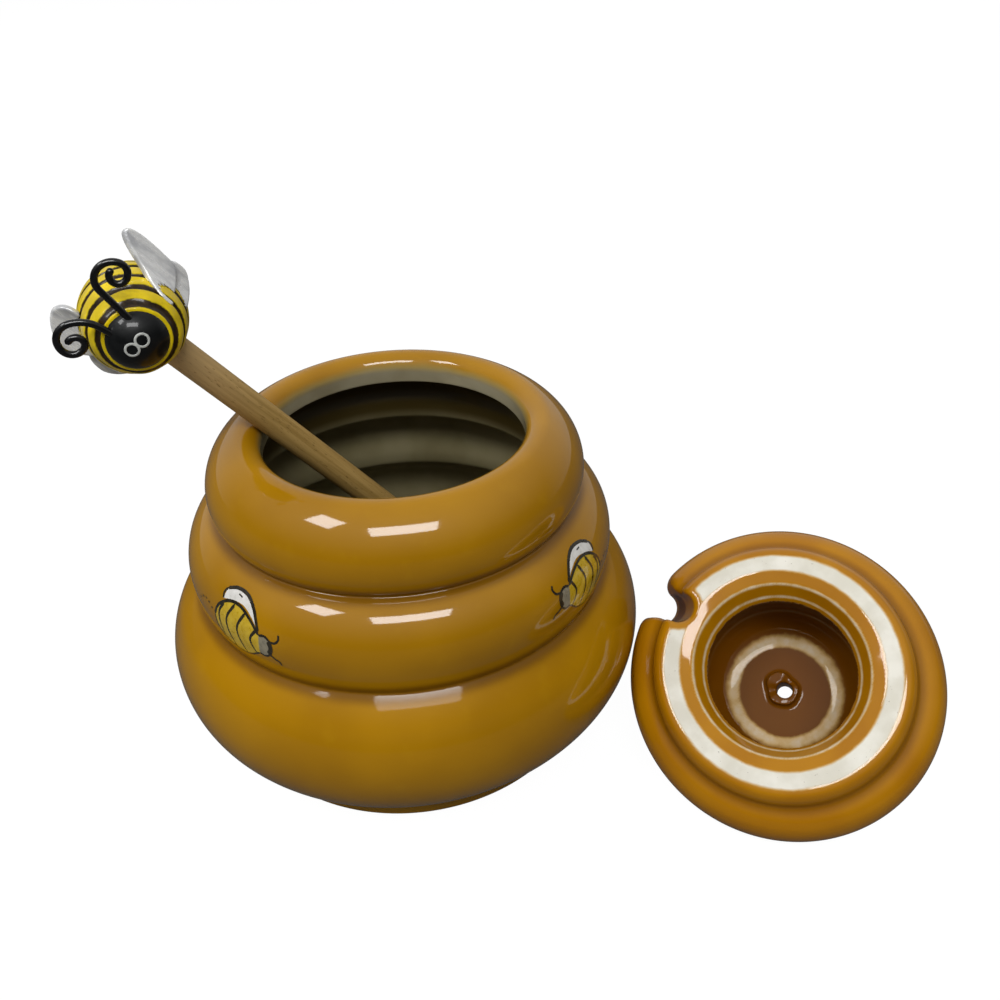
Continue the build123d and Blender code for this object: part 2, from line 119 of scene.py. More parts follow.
REST_GAP = 0.3
DIPPER_HEADING = radians(32.1)
DIPPER_LIP_BEARING = radians(-178.3)
BEE_SPIN = radians(-97.5)
BEE_PITCH = radians(8.6)
LID_BEARING = radians(-21.8)
LID_TUCK = 0.7
LID_HEADING = radians(-116.6)
LID_NOTCH_TURN = radians(165.0)

# ---- sizes that only this model has
PATH_STEP = 0.1
SCAN = 0.02
SOFTEN_PASSES = 120
HALVINGS = 50

# How much the corners of the pot's profile are softened, in mm.
SOFT_FOOT = 0.75
SOFT_LIP = 0.15
SOFT_INSIDE = 1.3
SOFT_CREASE = 0.42
SOFT_THROAT = 0.3
POT_SEGMENTS = 256
SKIN_INWARD = 30.0
SKIN_HEIGHT = 80.0

DECAL_LAYER = 0.03
DECAL_SIZE = 0.93
FILL_ROWS = 9
LINE_ROWS = 3

# Lumps of glaze round the vent, as waves round it: size, count and phase.
BOSS_SHIFT = 0.7
BOSS_LUMPS = ((0.3, 2, 0.6), (0.18, 3, 0.0), (0.12, 5, 2.0))
LID_WINDOW = ((0, -3), (40, 36))
# Radius and width of each painted highlight line on the funnel.
HIGHLIGHT_EDGES = ((RING_INNER - SHELF_WIDTH, 0.36), (DRAIN_RADIUS + 0.9, 0.30))

EYE_OUT = 1.35
EYE_UP = 0.37
EYE_RADIUS = 1.26
EYE_STROKE = 0.50
EYE_LIFT = 0.07
CAP_TURNS = np.linspace(0, pi / 2, 6)[1:]


# ---- small tools
def unit(v):
    v = np.asarray(v, float)
    return v / np.linalg.norm(v)


def place_of(origin, across, up):
    """4x4 place of a frame from its origin, X and Z."""
    place = np.eye(4)
    place[:3, 0] = across
    place[:3, 1] = np.cross(up, across)
    place[:3, 2] = up
    place[:3, 3] = origin
    return place


def aimed(origin, up, heading, turn):
    """Place whose Z is `up` and whose X is turned about it from the level way across a heading."""
    level = np.array([-sin(heading), cos(heading), 0])
    return place_of(origin, level * cos(turn) + np.cross(up, level) * sin(turn), up)


def placed(points, place):
    return np.asarray(points, float) @ place[:3, :3].T + place[:3, 3]


def turned(flat, angle):
    """Flat points turned about their origin."""
    c, s = cos(angle), sin(angle)
    return flat @ np.array([[c, s], [-s, c]])


def smooth_step(x, low, high):
    t = np.clip((np.asarray(x, float) - low) / (high - low), 0, 1)
    return t * t * (3 - 2 * t)


def fade(x, full, gone):
    """1 up to `full`, falling to 0 at `gone`."""
    return 1 - smooth_step(x, full, gone)


def waves(angle, terms):
    """Sum of sine waves, each given by its size, count and phase."""
    return sum(size * np.sin(count * angle + phase) for size, count, phase in terms)


def bulge(share):
    """Half width of a unit circle at a share of its radius."""
    return sqrt(max(0.0, 1 - share * share))


def halve(low, high, too_low):
    """Angle between two, given in degrees, at which a test stops holding."""
    low, high = radians(low), radians(high)
    for _ in range(HALVINGS):
        angle = (low + high) / 2
        if too_low(angle):
            low = angle
        else:
            high = angle
    return angle


def stand(name, data, place=None):
    """New object in the scene."""
    thing = bpy.data.objects.new(name, data)
    bpy.context.scene.collection.objects.link(thing)
    if place is not None:
        thing.matrix_world = Matrix(place.tolist())
    return thing


def add_piece(name, points, faces, material, body, node=None, slot=None, place=None, normals=None,
              skin=None, inks=None):
    """Mesh piece from points in mm, with its material, body and replaced node; `slot` is not used.

    `skin` holds three numbers a point for the material. Several materials come as a list, with
    `inks`, the number of each face's one."""
    if place is not None:
        points = placed(points, place)
    mesh = bpy.data.meshes.new(name)
    mesh.from_pydata((np.asarray(points) * MM).tolist(), [], [list(map(int, f)) for f in faces])
    mesh.validate()
    mesh.update()
    mesh.polygons.foreach_set("use_smooth", [True] * len(mesh.polygons))
    if skin is not None:
        layer = mesh.attributes.new("skin", "FLOAT_VECTOR", "POINT")
        layer.data.foreach_set("vector", np.asarray(skin, np.float32).ravel())
    if normals is not None:
        mesh.normals_split_custom_set_from_vertices((normals @ place[:3, :3].T).tolist())
    for one in material if inks else [material]:
        mesh.materials.append(one)
    if inks:
        mesh.polygons.foreach_set("material_index", inks)
    piece = stand(name, mesh)
    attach(piece, body)
    if node:
        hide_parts(node)
    return piece


# ---- paths and turned shapes
def run_along(path):
    """Distance along a path at each of its points."""
    return np.concatenate([[0], np.cumsum(np.linalg.norm(np.diff(path, axis=0), axis=1))])


def headings(path):
    """Unit direction of a path at each of its points."""
    ahead = np.gradient(path, axis=0)
    return ahead / np.linalg.norm(ahead, axis=1, keepdims=True)


def sample(path, far, at):
    """Points of a flat path at given distances."""
    return np.stack([np.interp(at, far, path[:, k]) for k in range(2)], 1)


def soften(path, amount):
    """Points along a path at close steps, with each corner rounded by about its amount in mm."""
    path = np.asarray(path, float)
    step = np.linalg.norm(np.diff(path, axis=0), axis=1)
    path = path[np.concatenate([[True], step > 1e-6])]
    far = run_along(path)
    line = sample(path, far, np.linspace(0, far[-1], int(far[-1] / PATH_STEP) + 2))
    spread = np.array([amount(r, z) for r, z in line])
    pull = np.clip(spread ** 2 / (2 * SOFTEN_PASSES * PATH_STEP ** 2), 0, 0.45)[1:-1, None]
    for _ in range(SOFTEN_PASSES):
        line[1:-1] += pull * (line[:-2] - 2 * line[1:-1] + line[2:])
    return line


def thin_out(line, angle=3.0, length=1.5):
    """Fewer points along a path, close together only where it bends."""
    run = np.diff(line, axis=0)
    size = np.linalg.norm(run, axis=1)
    heading = np.unwrap(np.arctan2(run[:, 1], run[:, 0]))
    bend = np.abs(np.diff(heading, prepend=heading[0]))
    cost = np.concatenate([[0], np.cumsum(size / length + np.degrees(bend) / angle)])
    return sample(line, cost, np.linspace(0, cost[-1], int(cost[-1]) + 2))


def grid(rows, columns, start=0, rows_meet=False, columns_meet=False):
    """Quads over a grid of points, numbered row by row, whose first and last rows or columns may meet."""
    quads = []
    for row in range(rows if rows_meet else rows - 1):
        a = start + row * columns
        b = start + (row + 1) % rows * columns
        for k in range(columns if columns_meet else columns - 1):
            n = (k + 1) % columns
            quads.append([a + k, b + k, b + n, a + n])
    return quads


def lathe(profile, segments):
    """Points and faces of a profile of (radius, height) turned about Z; ends on the axis close."""
    angles = np.arange(segments) * 2 * pi / segments
    points = []
    rings = []
    for radius, height in profile:
        spokes = angles[:1 if radius < 1e-4 else segments]
        rings.append(np.resize(np.arange(len(points), len(points) + len(spokes)), segments))
        points.extend(zip(radius * np.cos(spokes), radius * np.sin(spokes), [height] * len(spokes)))
    faces = []
    for low, high in zip(rings, rings[1:]):
        for corners in zip(low, np.roll(low, -1), np.roll(high, -1), high):
            faces.append([c for i, c in enumerate(corners) if c != corners[i - 1]])
    return np.array(points), faces


def closed_curve(corners, steps=12):
    """Smooth closed curve through its corners."""
    corners = np.asarray(corners, float)
    curve = []
    for k in range(len(corners)):
        p0, p1, p2, p3 = (corners[(k + j) % len(corners)] for j in (-1, 0, 1, 2))
        for t in np.arange(steps) / steps:
            curve.append(0.5 * (2 * p1 + (p2 - p0) * t + (2 * p0 - 5 * p1 + 4 * p2 - p3) * t * t
                                + (3 * p1 - p0 - 3 * p2 + p3) * t ** 3))
    return np.array(curve)


def smooth_line(corners, steps=10):
    """Smooth open curve through its corners."""
    corners = np.asarray(corners, float)
    ends = np.concatenate([[2 * corners[0] - corners[1]], corners, [2 * corners[-1] - corners[-2]]])
    return closed_curve(ends, steps)[steps:-2 * steps + 1]


# ---- fields, negative inside
def polygon_distance(outline, points):
    """Signed distance to a closed outline in a plane, negative inside."""
    best = np.full(len(points), 1e9)
    inside = np.zeros(len(points), bool)
    for a, b in zip(outline, np.roll(outline, -1, axis=0)):
        run = b - a
        along = np.clip(((points - a) @ run) / max(run @ run, 1e-12), 0, 1)
        gap = points - a - along[:, None] * run
        best = np.minimum(best, (gap ** 2).sum(1))
        crossing = (a[1] > points[:, 1]) != (b[1] > points[:, 1])
        if crossing.any():
            inside ^= crossing & (points[:, 0] < a[0] + (points[:, 1] - a[1]) * run[0] / run[1])
    return np.where(inside, -1, 1) * np.sqrt(best)


def distance_table(outline, low, high, step):
    """Fast lookup of polygon_distance over a rectangle."""
    size = [int(round((h - l) / step)) + 1 for l, h in zip(low, high)]
    axes = [l + step * np.arange(n) for l, n in zip(low, size)]
    spots = np.stack(np.meshgrid(*axes, indexing="ij"), -1).reshape(-1, 2)
    table = polygon_distance(outline, spots).reshape(size)

    def look_up(u, v):
        fu = np.clip((u - low[0]) / step, 0, size[0] - 1.001)
        fv = np.clip((v - low[1]) / step, 0, size[1] - 1.001)
        iu = fu.astype(int)
        iv = fv.astype(int)
        fu = fu - iu
        fv = fv - iv
        return ((table[iu, iv] * (1 - fu) + table[iu + 1, iv] * fu) * (1 - fv)
                + (table[iu, iv + 1] * (1 - fu) + table[iu + 1, iv + 1] * fu) * fv)
    return look_up


def both(a, b, rounding):
    """Field of what two fields share, with the edge between them rounded."""
    return (np.minimum(-rounding, np.maximum(a, b))
            + np.hypot(np.maximum(a + rounding, 0), np.maximum(b + rounding, 0)))


def slopes(field, points, reach):
    steps = np.eye(3) * reach
    return np.stack([field(points + s) - field(points - s) for s in steps], 1) / (2 * reach)


def neighbours(values, axis, rest=slice(None)):
    """An array without its last layer along an axis, and without its first."""
    lower = [rest] * 3
    upper = [rest] * 3
    lower[axis] = slice(0, -1)
    upper[axis] = slice(1, None)
    return values[tuple(lower)], values[tuple(upper)]


def skin_of(field, low, high, step, passes=4, reach=0.3):
    """Mesh of a field's zero surface: one point in each crossed cell, then moved onto the field."""
    axes = [np.arange(l, h + step, step) for l, h in zip(low, high)]
    shape = [len(a) for a in axes]
    values = np.empty(shape, np.float32)
    across, along = np.meshgrid(axes[0], axes[1], indexing="ij")
    for k, height in enumerate(axes[2]):
        layer = np.stack([across.ravel(), along.ravel(), np.full(across.size, height)], 1)
        values[:, :, k] = field(layer).reshape(across.shape)
    total = np.zeros([n - 1 for n in shape] + [3], np.float32)
    count = np.zeros([n - 1 for n in shape], np.float32)
    for axis in range(3):
        a, b = neighbours(values, axis)
        crossed = (a < 0) != (b < 0)
        share = np.where(crossed, a / np.where(crossed, a - b, 1), 0)
        others = [k for k in range(3) if k != axis]
        for shift in ((0, 0), (0, 1), (1, 0), (1, 1)):
            window = [slice(None)] * 3
            for other, move in zip(others, shift):
                window[other] = slice(move, shape[other] - 1 + move)
            hit = crossed[tuple(window)]
            count += hit
            total[..., axis] += np.where(hit, share[tuple(window)], 0)
            for other, move in zip(others, shift):
                total[..., other] += np.where(hit, move, 0)
    used = count > 0
    cells = np.argwhere(used)
    number = -np.ones(used.shape, int)
    number[used] = np.arange(len(cells))
    points = np.array(low) + step * (cells + total[used] / count[used][:, None])
    faces = []
    for axis in range(3):
        others = [k for k in range(3) if k != axis]
        a, b = neighbours(values < 0, axis, slice(1, -1))
        spots = np.argwhere(a != b)
        outward = a[tuple(spots.T)]
        spots[:, others] += 1
        corners = []
        for shift in ((-1, -1), (0, -1), (0, 0), (-1, 0)):
            cell = spots.copy()
            cell[:, others] += shift
            corners.append(number[tuple(cell.T)])
        quads = np.stack(corners, 1)
        flip = outward if axis == 1 else ~outward
        quads[flip] = quads[flip][:, ::-1]
        faces.append(quads)
    faces = np.concatenate(faces)
    faces = faces[(faces >= 0).all(1)]
    for _ in range(passes):
        slope = slopes(field, points, reach)
        size = np.maximum((slope ** 2).sum(1), 0.05)
        move = -(field(points) / size)[:, None] * slope
        far = np.linalg.norm(move, axis=1, keepdims=True)
        points = points + move * np.minimum(1, 0.5 * step / np.maximum(far, 1e-9))
    slope = slopes(field, points, reach)
    normals = slope / np.maximum(np.linalg.norm(slope, axis=1, keepdims=True), 1e-9)
    return points, faces, normals


# ---- pot
def lobe_radius(lobe, z):
    """Radius of a lobe's outline at a height, or 0 above and below it."""
    run, rise = lobe["above"] if z > lobe["height"] else lobe["below"]
    share = (z - lobe["height"]) / rise
    return 0.0 if abs(share) > 1 else lobe["radius"] - run + run * bulge(share)


def inside_of(lobe, wall, **changes):
    """A lobe at a wall's depth, with what differs from an even wall."""
    above, below = ([reach - wall for reach in lobe[half]] for half in ("above", "below"))
    inner = dict(radius=lobe["radius"] - wall, height=lobe["height"], above=above, below=below)
    return {**inner, **changes}


def creases_of(lobes):
    """Radius and height of the crease between each two lobes."""
    found = []
    for lower, upper in zip(lobes, lobes[1:]):
        heights = np.linspace(lower["height"], upper["height"], 2000)
        radii = [max(lobe_radius(lower, z), lobe_radius(upper, z)) for z in heights]
        best = int(np.argmin(radii))
        found.append((radii[best], heights[best]))
    return found


def lip_circle():
    """Middle of the lip's rounding, and the slope at which it meets the upper lobe."""
    run, rise = UPPER_LOBE["above"]
    target = MOUTH_RADIUS + LIP_ROUND

    def normal(angle):
        return unit((cos(angle) / run, sin(angle) / rise))

    def too_wide(angle):
        return UPPER_LOBE["radius"] - run + run * cos(angle) - LIP_ROUND * normal(angle)[0] > target

    angle = halve(10, 89, too_wide)
    out, up = normal(angle)
    height = UPPER_LOBE["height"] + rise * sin(angle) - LIP_ROUND * up
    return target, height, atan2(up, out)


POT_LOBES = [LOWER_LOBE, MIDDLE_LOBE, UPPER_LOBE]
POT_CREASES = creases_of(POT_LOBES)
LIP_RADIUS, LIP_HEIGHT, LIP_SLOPE = lip_circle()


def pot_outer_radius(z):
    return max(lobe_radius(lobe, z) for lobe in POT_LOBES)


HOLLOW_BELOW = (LOWER_LOBE["below"][0], LOWER_LOBE["height"] - POT_FLOOR)
HOLLOW_ABOVE = (UPPER_LOBE["radius"] - POT_WALL - MOUTH_RADIUS, THROAT_HEIGHT - UPPER_LOBE["height"])
POT_HOLLOW = [inside_of(LOWER_LOBE, POT_WALL, below=HOLLOW_BELOW), inside_of(MIDDLE_LOBE, POT_WALL),
              inside_of(UPPER_LOBE, POT_WALL, above=HOLLOW_ABOVE)]


def pot_inner_radius(z):
    """Radius of the pot's inside at a height, which runs straight past the creases."""
    radius = max(lobe_radius(lobe, z) for lobe in POT_HOLLOW)
    for (crease, _), lower, upper in zip(POT_CREASES, POT_LOBES, POT_LOBES[1:]):
        if lower["height"] < z < upper["height"]:
            radius = max(radius, crease - POT_WALL)
    return radius


def pot_profile():
    """Half section of the pot, from the middle of its underside round to the middle of its floor."""
    inner_foot = FOOT_RADIUS - FOOT_WIDTH
    path = [(0, FOOT_RECESS), (inner_foot, FOOT_RECESS), (inner_foot, 0), (FOOT_RADIUS, 0)]
    top = LIP_HEIGHT + LIP_ROUND * sin(LIP_SLOPE)
    for z in np.arange(SCAN, top, SCAN):
        foot = FOOT_RADIUS if z < POT_FLOOR else 0.0
        path.append((max(foot, pot_outer_radius(z)), z))
    for turn in np.linspace(LIP_SLOPE, pi, 60):
        path.append((LIP_RADIUS + LIP_ROUND * cos(turn), LIP_HEIGHT + LIP_ROUND * sin(turn)))
    path.append((MOUTH_RADIUS, THROAT_HEIGHT))
    for z in np.arange(THROAT_HEIGHT - SCAN, POT_FLOOR, -SCAN):
        path.append((pot_inner_radius(z), z))
    path.append((0, POT_FLOOR))

    def amount(r, z):
        if z < 3:
            return SOFT_FOOT
        if z > THROAT_HEIGHT + 1.0:
            return SOFT_LIP
        if 12 < z < THROAT_HEIGHT - 2 and r < pot_outer_radius(z) - POT_WALL / 2:
            return SOFT_INSIDE
        return SOFT_CREASE if r > MOUTH_RADIUS + 4 or z < 60 else SOFT_THROAT
    return thin_out(soften(path, amount))


POT_PROFILE = pot_profile()
POT_CREST = int(np.argmax(POT_PROFILE[:, 1]))


def make_pot(material):
    """Turned pot. Its skin is how far inside a point lies, how near a crease for the painted crease shade,
    and its height.
    """
    radii, heights = POT_PROFILE.T
    inward = np.where(heights < THROAT_HEIGHT - 1, SKIN_INWARD, heights[POT_CREST] - heights)
    inward[:POT_CREST] = 0
    inward = np.maximum.accumulate(inward)
    # Nearness to a crease, which the material paints as shade.
    pool_and_shade = np.zeros(len(radii))
    for radius, height in POT_CREASES:
        pool_and_shade = np.maximum(pool_and_shade, fade(np.hypot(radii - radius, heights - height), 0.3, 4.2))
    pool_and_shade *= inward == 0
    points, faces = lathe(POT_PROFILE, POT_SEGMENTS)
    skin = np.stack([inward / SKIN_INWARD, pool_and_shade, heights / SKIN_HEIGHT], 1)
    skin = np.repeat(skin, np.where(radii < 1e-4, 1, POT_SEGMENTS), axis=0)
    add_piece("pot", points, faces, material, "pot", "pot_body", "pot_glaze", skin=skin)


# ---- painted bees on the pot
WHITE, YELLOW, GREY, INK = range(4)


def stroke(corners, width, thin_end=False):
    """The two sides of a brush stroke through its corners, round or drawn out at its ends."""
    line = smooth_line(corners)
    ahead = headings(line)
    far = run_along(line)
    near_end = np.minimum(far, far[-1] - far) / (width / 2)
    half = width / 2 * np.sqrt(1 - np.clip(1 - near_end, 0, 0.98) ** 2)
    if thin_end:
        half = half * (1 - 0.65 * far / far[-1])
    side = np.stack([-ahead[:, 1], ahead[:, 0]], 1) * half[:, None]
    return line + side, line - side


def painted_bee():
    """Bands of a small side-on bee in mm, its head towards +X: (paint, side, other side)."""
    back = [(-9.4, 1.0), (-8.0, 4.2), (-4.6, 6.6), (-0.6, 6.9), (3.2, 5.2), (6.2, 2.6)]
    belly = [(-9.4, 1.0), (-8.4, -1.9), (-5.6, -4.0), (-1.6, -4.9), (2.4, -4.4), (6.2, -2.2)]
    crown = [(6.2, 2.6), (7.9, 2.9), (9.4, 1.9), (10.0, 0.2)]
    chin = [(6.2, -2.2), (7.8, -2.4), (9.3, -1.4), (10.0, 0.2)]
    wing_top = [(-6.6, 8.9), (-3.4, 10.2), (0.6, 9.9), (3.9, 7.4), (6.0, 3.4)]
    wing_low = [(-6.9, 6.2), (-3.4, 7.3), (0.4, 7.4), (3.6, 5.8), (6.0, 3.4)]
    wing_tip = [(-6.6, 8.9), (-7.3, 7.6), (-6.9, 6.2)]
    face = [(8.9, 2.0), (9.6, 0.2), (8.8, -1.4)]
    vein = [(-2.4, 9.2), (-0.9, 8.9)]
    feeler = [(9.3, 2.0), (10.8, 2.2), (11.7, 3.3), (11.6, 4.4)]
    other_feeler = [(9.3, -1.5), (10.4, -2.3), (11.5, -2.8), (12.0, -3.8)]
    stripes = [[(-6.3, 5.4), (-7.6, 2.0), (-6.2, -3.5)], [(-2.5, 6.6), (-4.6, 1.6), (-2.2, -4.8)],
               [(1.3, 6.0), (-0.7, 1.2), (1.6, -4.5)], [(5.2, 3.4), (3.6, 0.4), (5.2, -2.9)]]
    trail = [(-10.6, 1.6), (-12.1, 2.3), (-13.7, 2.5), (-15.3, 2.0), (-16.7, 1.0)]
    bands = [(paint, smooth_line(side), smooth_line(other)) for paint, side, other in
             ((WHITE, wing_top, wing_low), (YELLOW, back, belly), (GREY, crown, chin))]
    for corners, width in ((wing_top, 0.85), (back, 0.75), (belly, 0.45), (wing_tip, 0.6), (crown, 0.6),
                           (chin, 0.5), (face, 1.1), (vein, 0.35), (feeler, 0.55), (other_feeler, 0.5)):
        bands.append((INK, *stroke(corners, width)))
    bands += [(INK, *stroke(stripe, 0.85, thin_end=True)) for stripe in stripes]
    bands += [(INK, *stroke([(x, y), (x - 0.7, y + 0.1)], 0.4)) for x, y in trail]
    return bands


def make_decal(name, bearing, height, tilt, facing, inks):
    """A painted bee wrapped round the middle lobe, its ink a hair above its fills."""
    (_, low), (_, high) = POT_CREASES
    lobe = POT_PROFILE[:POT_CREST]
    lobe = lobe[(lobe[:, 1] > low) & (lobe[:, 1] < high)]
    along = run_along(lobe)
    along -= along[np.argmax(lobe[:, 0])]
    way = headings(lobe)
    points = []
    faces = []
    which = []
    for paint, side, other in painted_bee():
        rows = LINE_ROWS if paint == INK else FILL_ROWS
        lift = DECAL_LAYER * (2 if paint == INK else 1)
        shares = np.linspace(0, 1, rows)[:, None, None]
        flat = turned((side * (1 - shares) + other * shares) * DECAL_SIZE, radians(tilt))
        upwards = height + flat[..., 1]
        radius = np.interp(upwards, along, lobe[:, 0]) + lift * np.interp(upwards, along, way[:, 1])
        level = np.interp(upwards, along, lobe[:, 1]) - lift * np.interp(upwards, along, way[:, 0])
        angle = radians(bearing) + facing * flat[..., 0] / MIDDLE_LOBE["radius"]
        quads = grid(rows, len(side), len(points))
        faces.extend(quads if facing > 0 else [quad[::-1] for quad in quads])
        which.extend([paint] * len(quads))
        points.extend(np.stack([radius * np.cos(angle), radius * np.sin(angle), level], -1).reshape(-1, 3))
    add_piece(name, np.array(points), faces, inks, "pot", slot="pot_glaze", inks=which)


# ---- lid
LID_TOP = DOME_LOBE["height"] + DOME_LOBE["above"][1]
LID_ROOF = LID_TOP - LID_WALL


def lid_place():
    """Place of the upturned lid, which stands on its rim and its dome at once."""
    def reach(lobe, angle):
        run, rise = lobe["above"]
        side, down = sin(angle), cos(angle)
        return (lobe["radius"] - run) * side + lobe["height"] * down + hypot(run * side, rise * down)

    lean = halve(5, 80, lambda angle: reach(RIM_LOBE, angle) <= reach(DOME_LOBE, angle))
    apart = LOWER_LOBE["radius"] + RIM_LOBE["radius"] - LID_TUCK
    spot = (apart * cos(LID_BEARING), apart * sin(LID_BEARING), reach(RIM_LOBE, lean))
    facing = np.array([sin(lean) * cos(LID_HEADING), sin(lean) * sin(LID_HEADING),
                       cos(lean)])
    return aimed(spot, -facing, LID_HEADING, -LID_NOTCH_TURN)


def mirrored(path, amount):
    """Closed outline of a half section, softened, thinned out and mirrored about the axis."""
    line = thin_out(soften(path, amount), 4.0, 1.0)
    return np.concatenate([line, line[1:-1][::-1] * (-1, 1)])


def lid_outline():
    """Outline of the lid's solid, funnel included, as (radius, height)."""
    seat = RIM_LOBE["height"] - RIM_LOBE["below"][1]
    path = [(0, DRAIN_DEPTH), (DRAIN_RADIUS, DRAIN_DEPTH), (RING_INNER - SHELF_WIDTH, SHELF_RISE),
            (RING_INNER, 0)]
    for turn in np.linspace(-pi / 2, 0, 30):
        path.append((FLANGE_RADIUS - FLANGE_SHOULDER + FLANGE_SHOULDER * cos(turn),
                     FLANGE_SHOULDER + FLANGE_SHOULDER * sin(turn)))
    path.append((FLANGE_RADIUS, seat))
    for z in np.arange(seat + SCAN, LID_TOP, SCAN):
        path.append((max(lobe_radius(RIM_LOBE, z), lobe_radius(DOME_LOBE, z)), z))
    path.append((0, LID_TOP))

    def amount(r, z):
        if r < RING_INNER and z < DRAIN_DEPTH:
            return 0.3
        if abs(r - FLANGE_RADIUS) < 4.5 and 0.5 < z < 11:
            return 3.0
        return 0.4
    return mirrored(path, amount)


def lid_hollow_outline():
    """Outline of the space inside the lid."""
    neck = DOME_LOBE["radius"] - LID_WALL
    rim = inside_of(RIM_LOBE, LID_WALL)
    dome = inside_of(DOME_LOBE, LID_WALL, above=(neck - DOME_ROOF_FLAT, DOME_LOBE["above"][1] - LID_WALL))
    path = [(0, DRAIN_DEPTH)]
    for z in np.arange(DRAIN_DEPTH, LID_ROOF, SCAN):
        radius = lobe_radius(rim, z)
        if z < rim["height"]:
            radius = max(radius, FLANGE_RADIUS - LID_WALL)
        elif z > rim["height"]:
            radius = max(radius, neck if z < dome["height"] else lobe_radius(dome, z))
        path.append((radius, z))
    path.append((0, LID_ROOF))
    return mirrored(path, lambda r, z: 0.8 if r > 15 else 0.3)


def notch_field(points, grow):
    """Field of all but the notch: the slot for the stick, widened beyond its horns."""
    across = points[:, 0] - (points[:, 2] - RIM_LOBE["height"]) * tan(NOTCH_SLANT)
    slot = NOTCH_HALF + grow - np.hypot(np.minimum(across - NOTCH_CENTRE, 0), points[:, 1])
    return both(slot, across - (NOTCH_CENTRE + NOTCH_HORN - grow), NOTCH_HORN - grow)


def lid_field():
    """Field of the lid: its outside less the notch, the walled hollow and the vent."""
    solid = distance_table(lid_outline(), *LID_WINDOW, 0.125)
    hollow = distance_table(lid_hollow_outline(), *LID_WINDOW, 0.125)

    def field(points):
        radius = np.hypot(points[:, 0], points[:, 1])
        z = points[:, 2]
        shell = both(solid(radius, z), notch_field(points, 0.0), 1.1)
        inner = both(hollow(radius, z), notch_field(points, NOTCH_WALL), 1.2)
        lump = waves(np.arctan2(points[:, 1], points[:, 0] - BOSS_SHIFT), BOSS_LUMPS)
        reach = np.hypot(points[:, 0] - BOSS_SHIFT, points[:, 1]) - lump
        boss = np.maximum(reach - BOSS_RADIUS, LID_ROOF - BOSS_HEIGHT - z - lump)
        inner = both(inner, -boss, 1.1)
        shell = both(shell, -inner, 0.4)
        return both(shell, VENT_RADIUS - radius, 0.45)
    return field


def make_lid(material):
    """Lid. Its skin is how bare of glaze a point is, with a painted reflection in the dome's cove and
    painted highlights on the funnel's edges laid on it too, how near a crease for a painted shade, and how
    far inside for a painted shade.
    """
    hollow_of = distance_table(lid_hollow_outline(), *LID_WINDOW, 0.5)
    step = 0.5
    points, faces, normals = skin_of(lid_field(), (-37, -37, -1.5), (37.5, 37, 33.5), step)
    radius = np.hypot(points[:, 0], points[:, 1])
    z = points[:, 2]
    ring = smooth_step(radius, RING_INNER - 0.8, RING_INNER + 0.6) * fade(radius, 25.0, 26.6)
    ring *= fade(z, 0.5, 1.2) * fade(notch_field(points, 0.0), -2.6, -0.9)
    # Painted reflection: a pale ring round the flat of the dome's roof.
    cove_reflection = smooth_step(radius, 10.0, 11.6) * fade(radius, 12.6, 15.4) * (z > 22) * (z < 30)
    ring = np.maximum(ring, 0.5 * cove_reflection)
    # Painted highlights: thin pale lines along the funnel's edges.
    for edge, width in HIGHLIGHT_EDGES:
        pale = 0.58 * np.exp(-((radius - edge) / width) ** 2)
        ring = np.maximum(ring, pale * (z < DRAIN_DEPTH - 1))
    # Painted shade in the valley beside the flange and in the crease under the dome.
    valley_shade = fade(np.hypot(radius - FLANGE_RADIUS, z - 4.8), 0.3, 3.4)
    seam_shade = fade(np.hypot(radius - DOME_LOBE["radius"] - 1.0, z - 18.6), 0.3, 3.0)
    # How far inside the hollow, which the material paints as shade and makes less glossy.
    hollow_shade_depth = smooth_step(-hollow_of(radius, z), -1.0, 0.0) * smooth_step(z, 4.0, 9.0)
    add_piece("lid_shell", points, faces, material, "lid", "lid", "lid_glaze", place=lid_place(),
              normals=normals, skin=np.stack([ring, np.maximum(valley_shade, seam_shade), hollow_shade_depth], 1))


# ---- dipper
STICK_LENGTH = HEAD_LENGTH / 2 + DIPPER_REACH + BEE_REACH


def dipper_on_lip(lean):
    """Direction of the leaning stick, and the point of its axis beside the lip."""
    level = cos(lean)
    up = np.array([-level * cos(DIPPER_HEADING), -level * sin(DIPPER_HEADING), sin(lean)])
    c, s = cos(DIPPER_LIP_BEARING), sin(DIPPER_LIP_BEARING)
    lip = np.array([LIP_RADIUS * c, LIP_RADIUS * s, LIP_HEIGHT])
    away = unit(np.cross(up, (-s, c, 0)))
    return up, lip + away * (LIP_ROUND + STICK_RADIUS + REST_GAP)


def dipper_place():
    """Place of the dipper, from its tip: its stick on the lip, its head on the pot's floor."""
    def clear(lean):
        up, touch = dipper_on_lip(lean)
        reach = hypot(HEAD_LENGTH / 2 * sin(lean), HEAD_RADIUS * cos(lean))
        return (touch - up * DIPPER_REACH)[2] - reach > POT_FLOOR + REST_GAP

    up, touch = dipper_on_lip(halve(30, 80, clear))
    return aimed(touch - up * (DIPPER_REACH + HEAD_LENGTH / 2), up, DIPPER_HEADING, BEE_SPIN)


def bee_place():
    """Bee's frame: X to its right side, -Y its nose, Z its back."""
    c, s = cos(BEE_PITCH), sin(BEE_PITCH)
    return dipper_place() @ np.array([[1, 0, 0, 0], [0, c, s, 0], [0, -s, c, STICK_LENGTH], [0, 0, 0, 1]])


BEE_PLACE = bee_place()


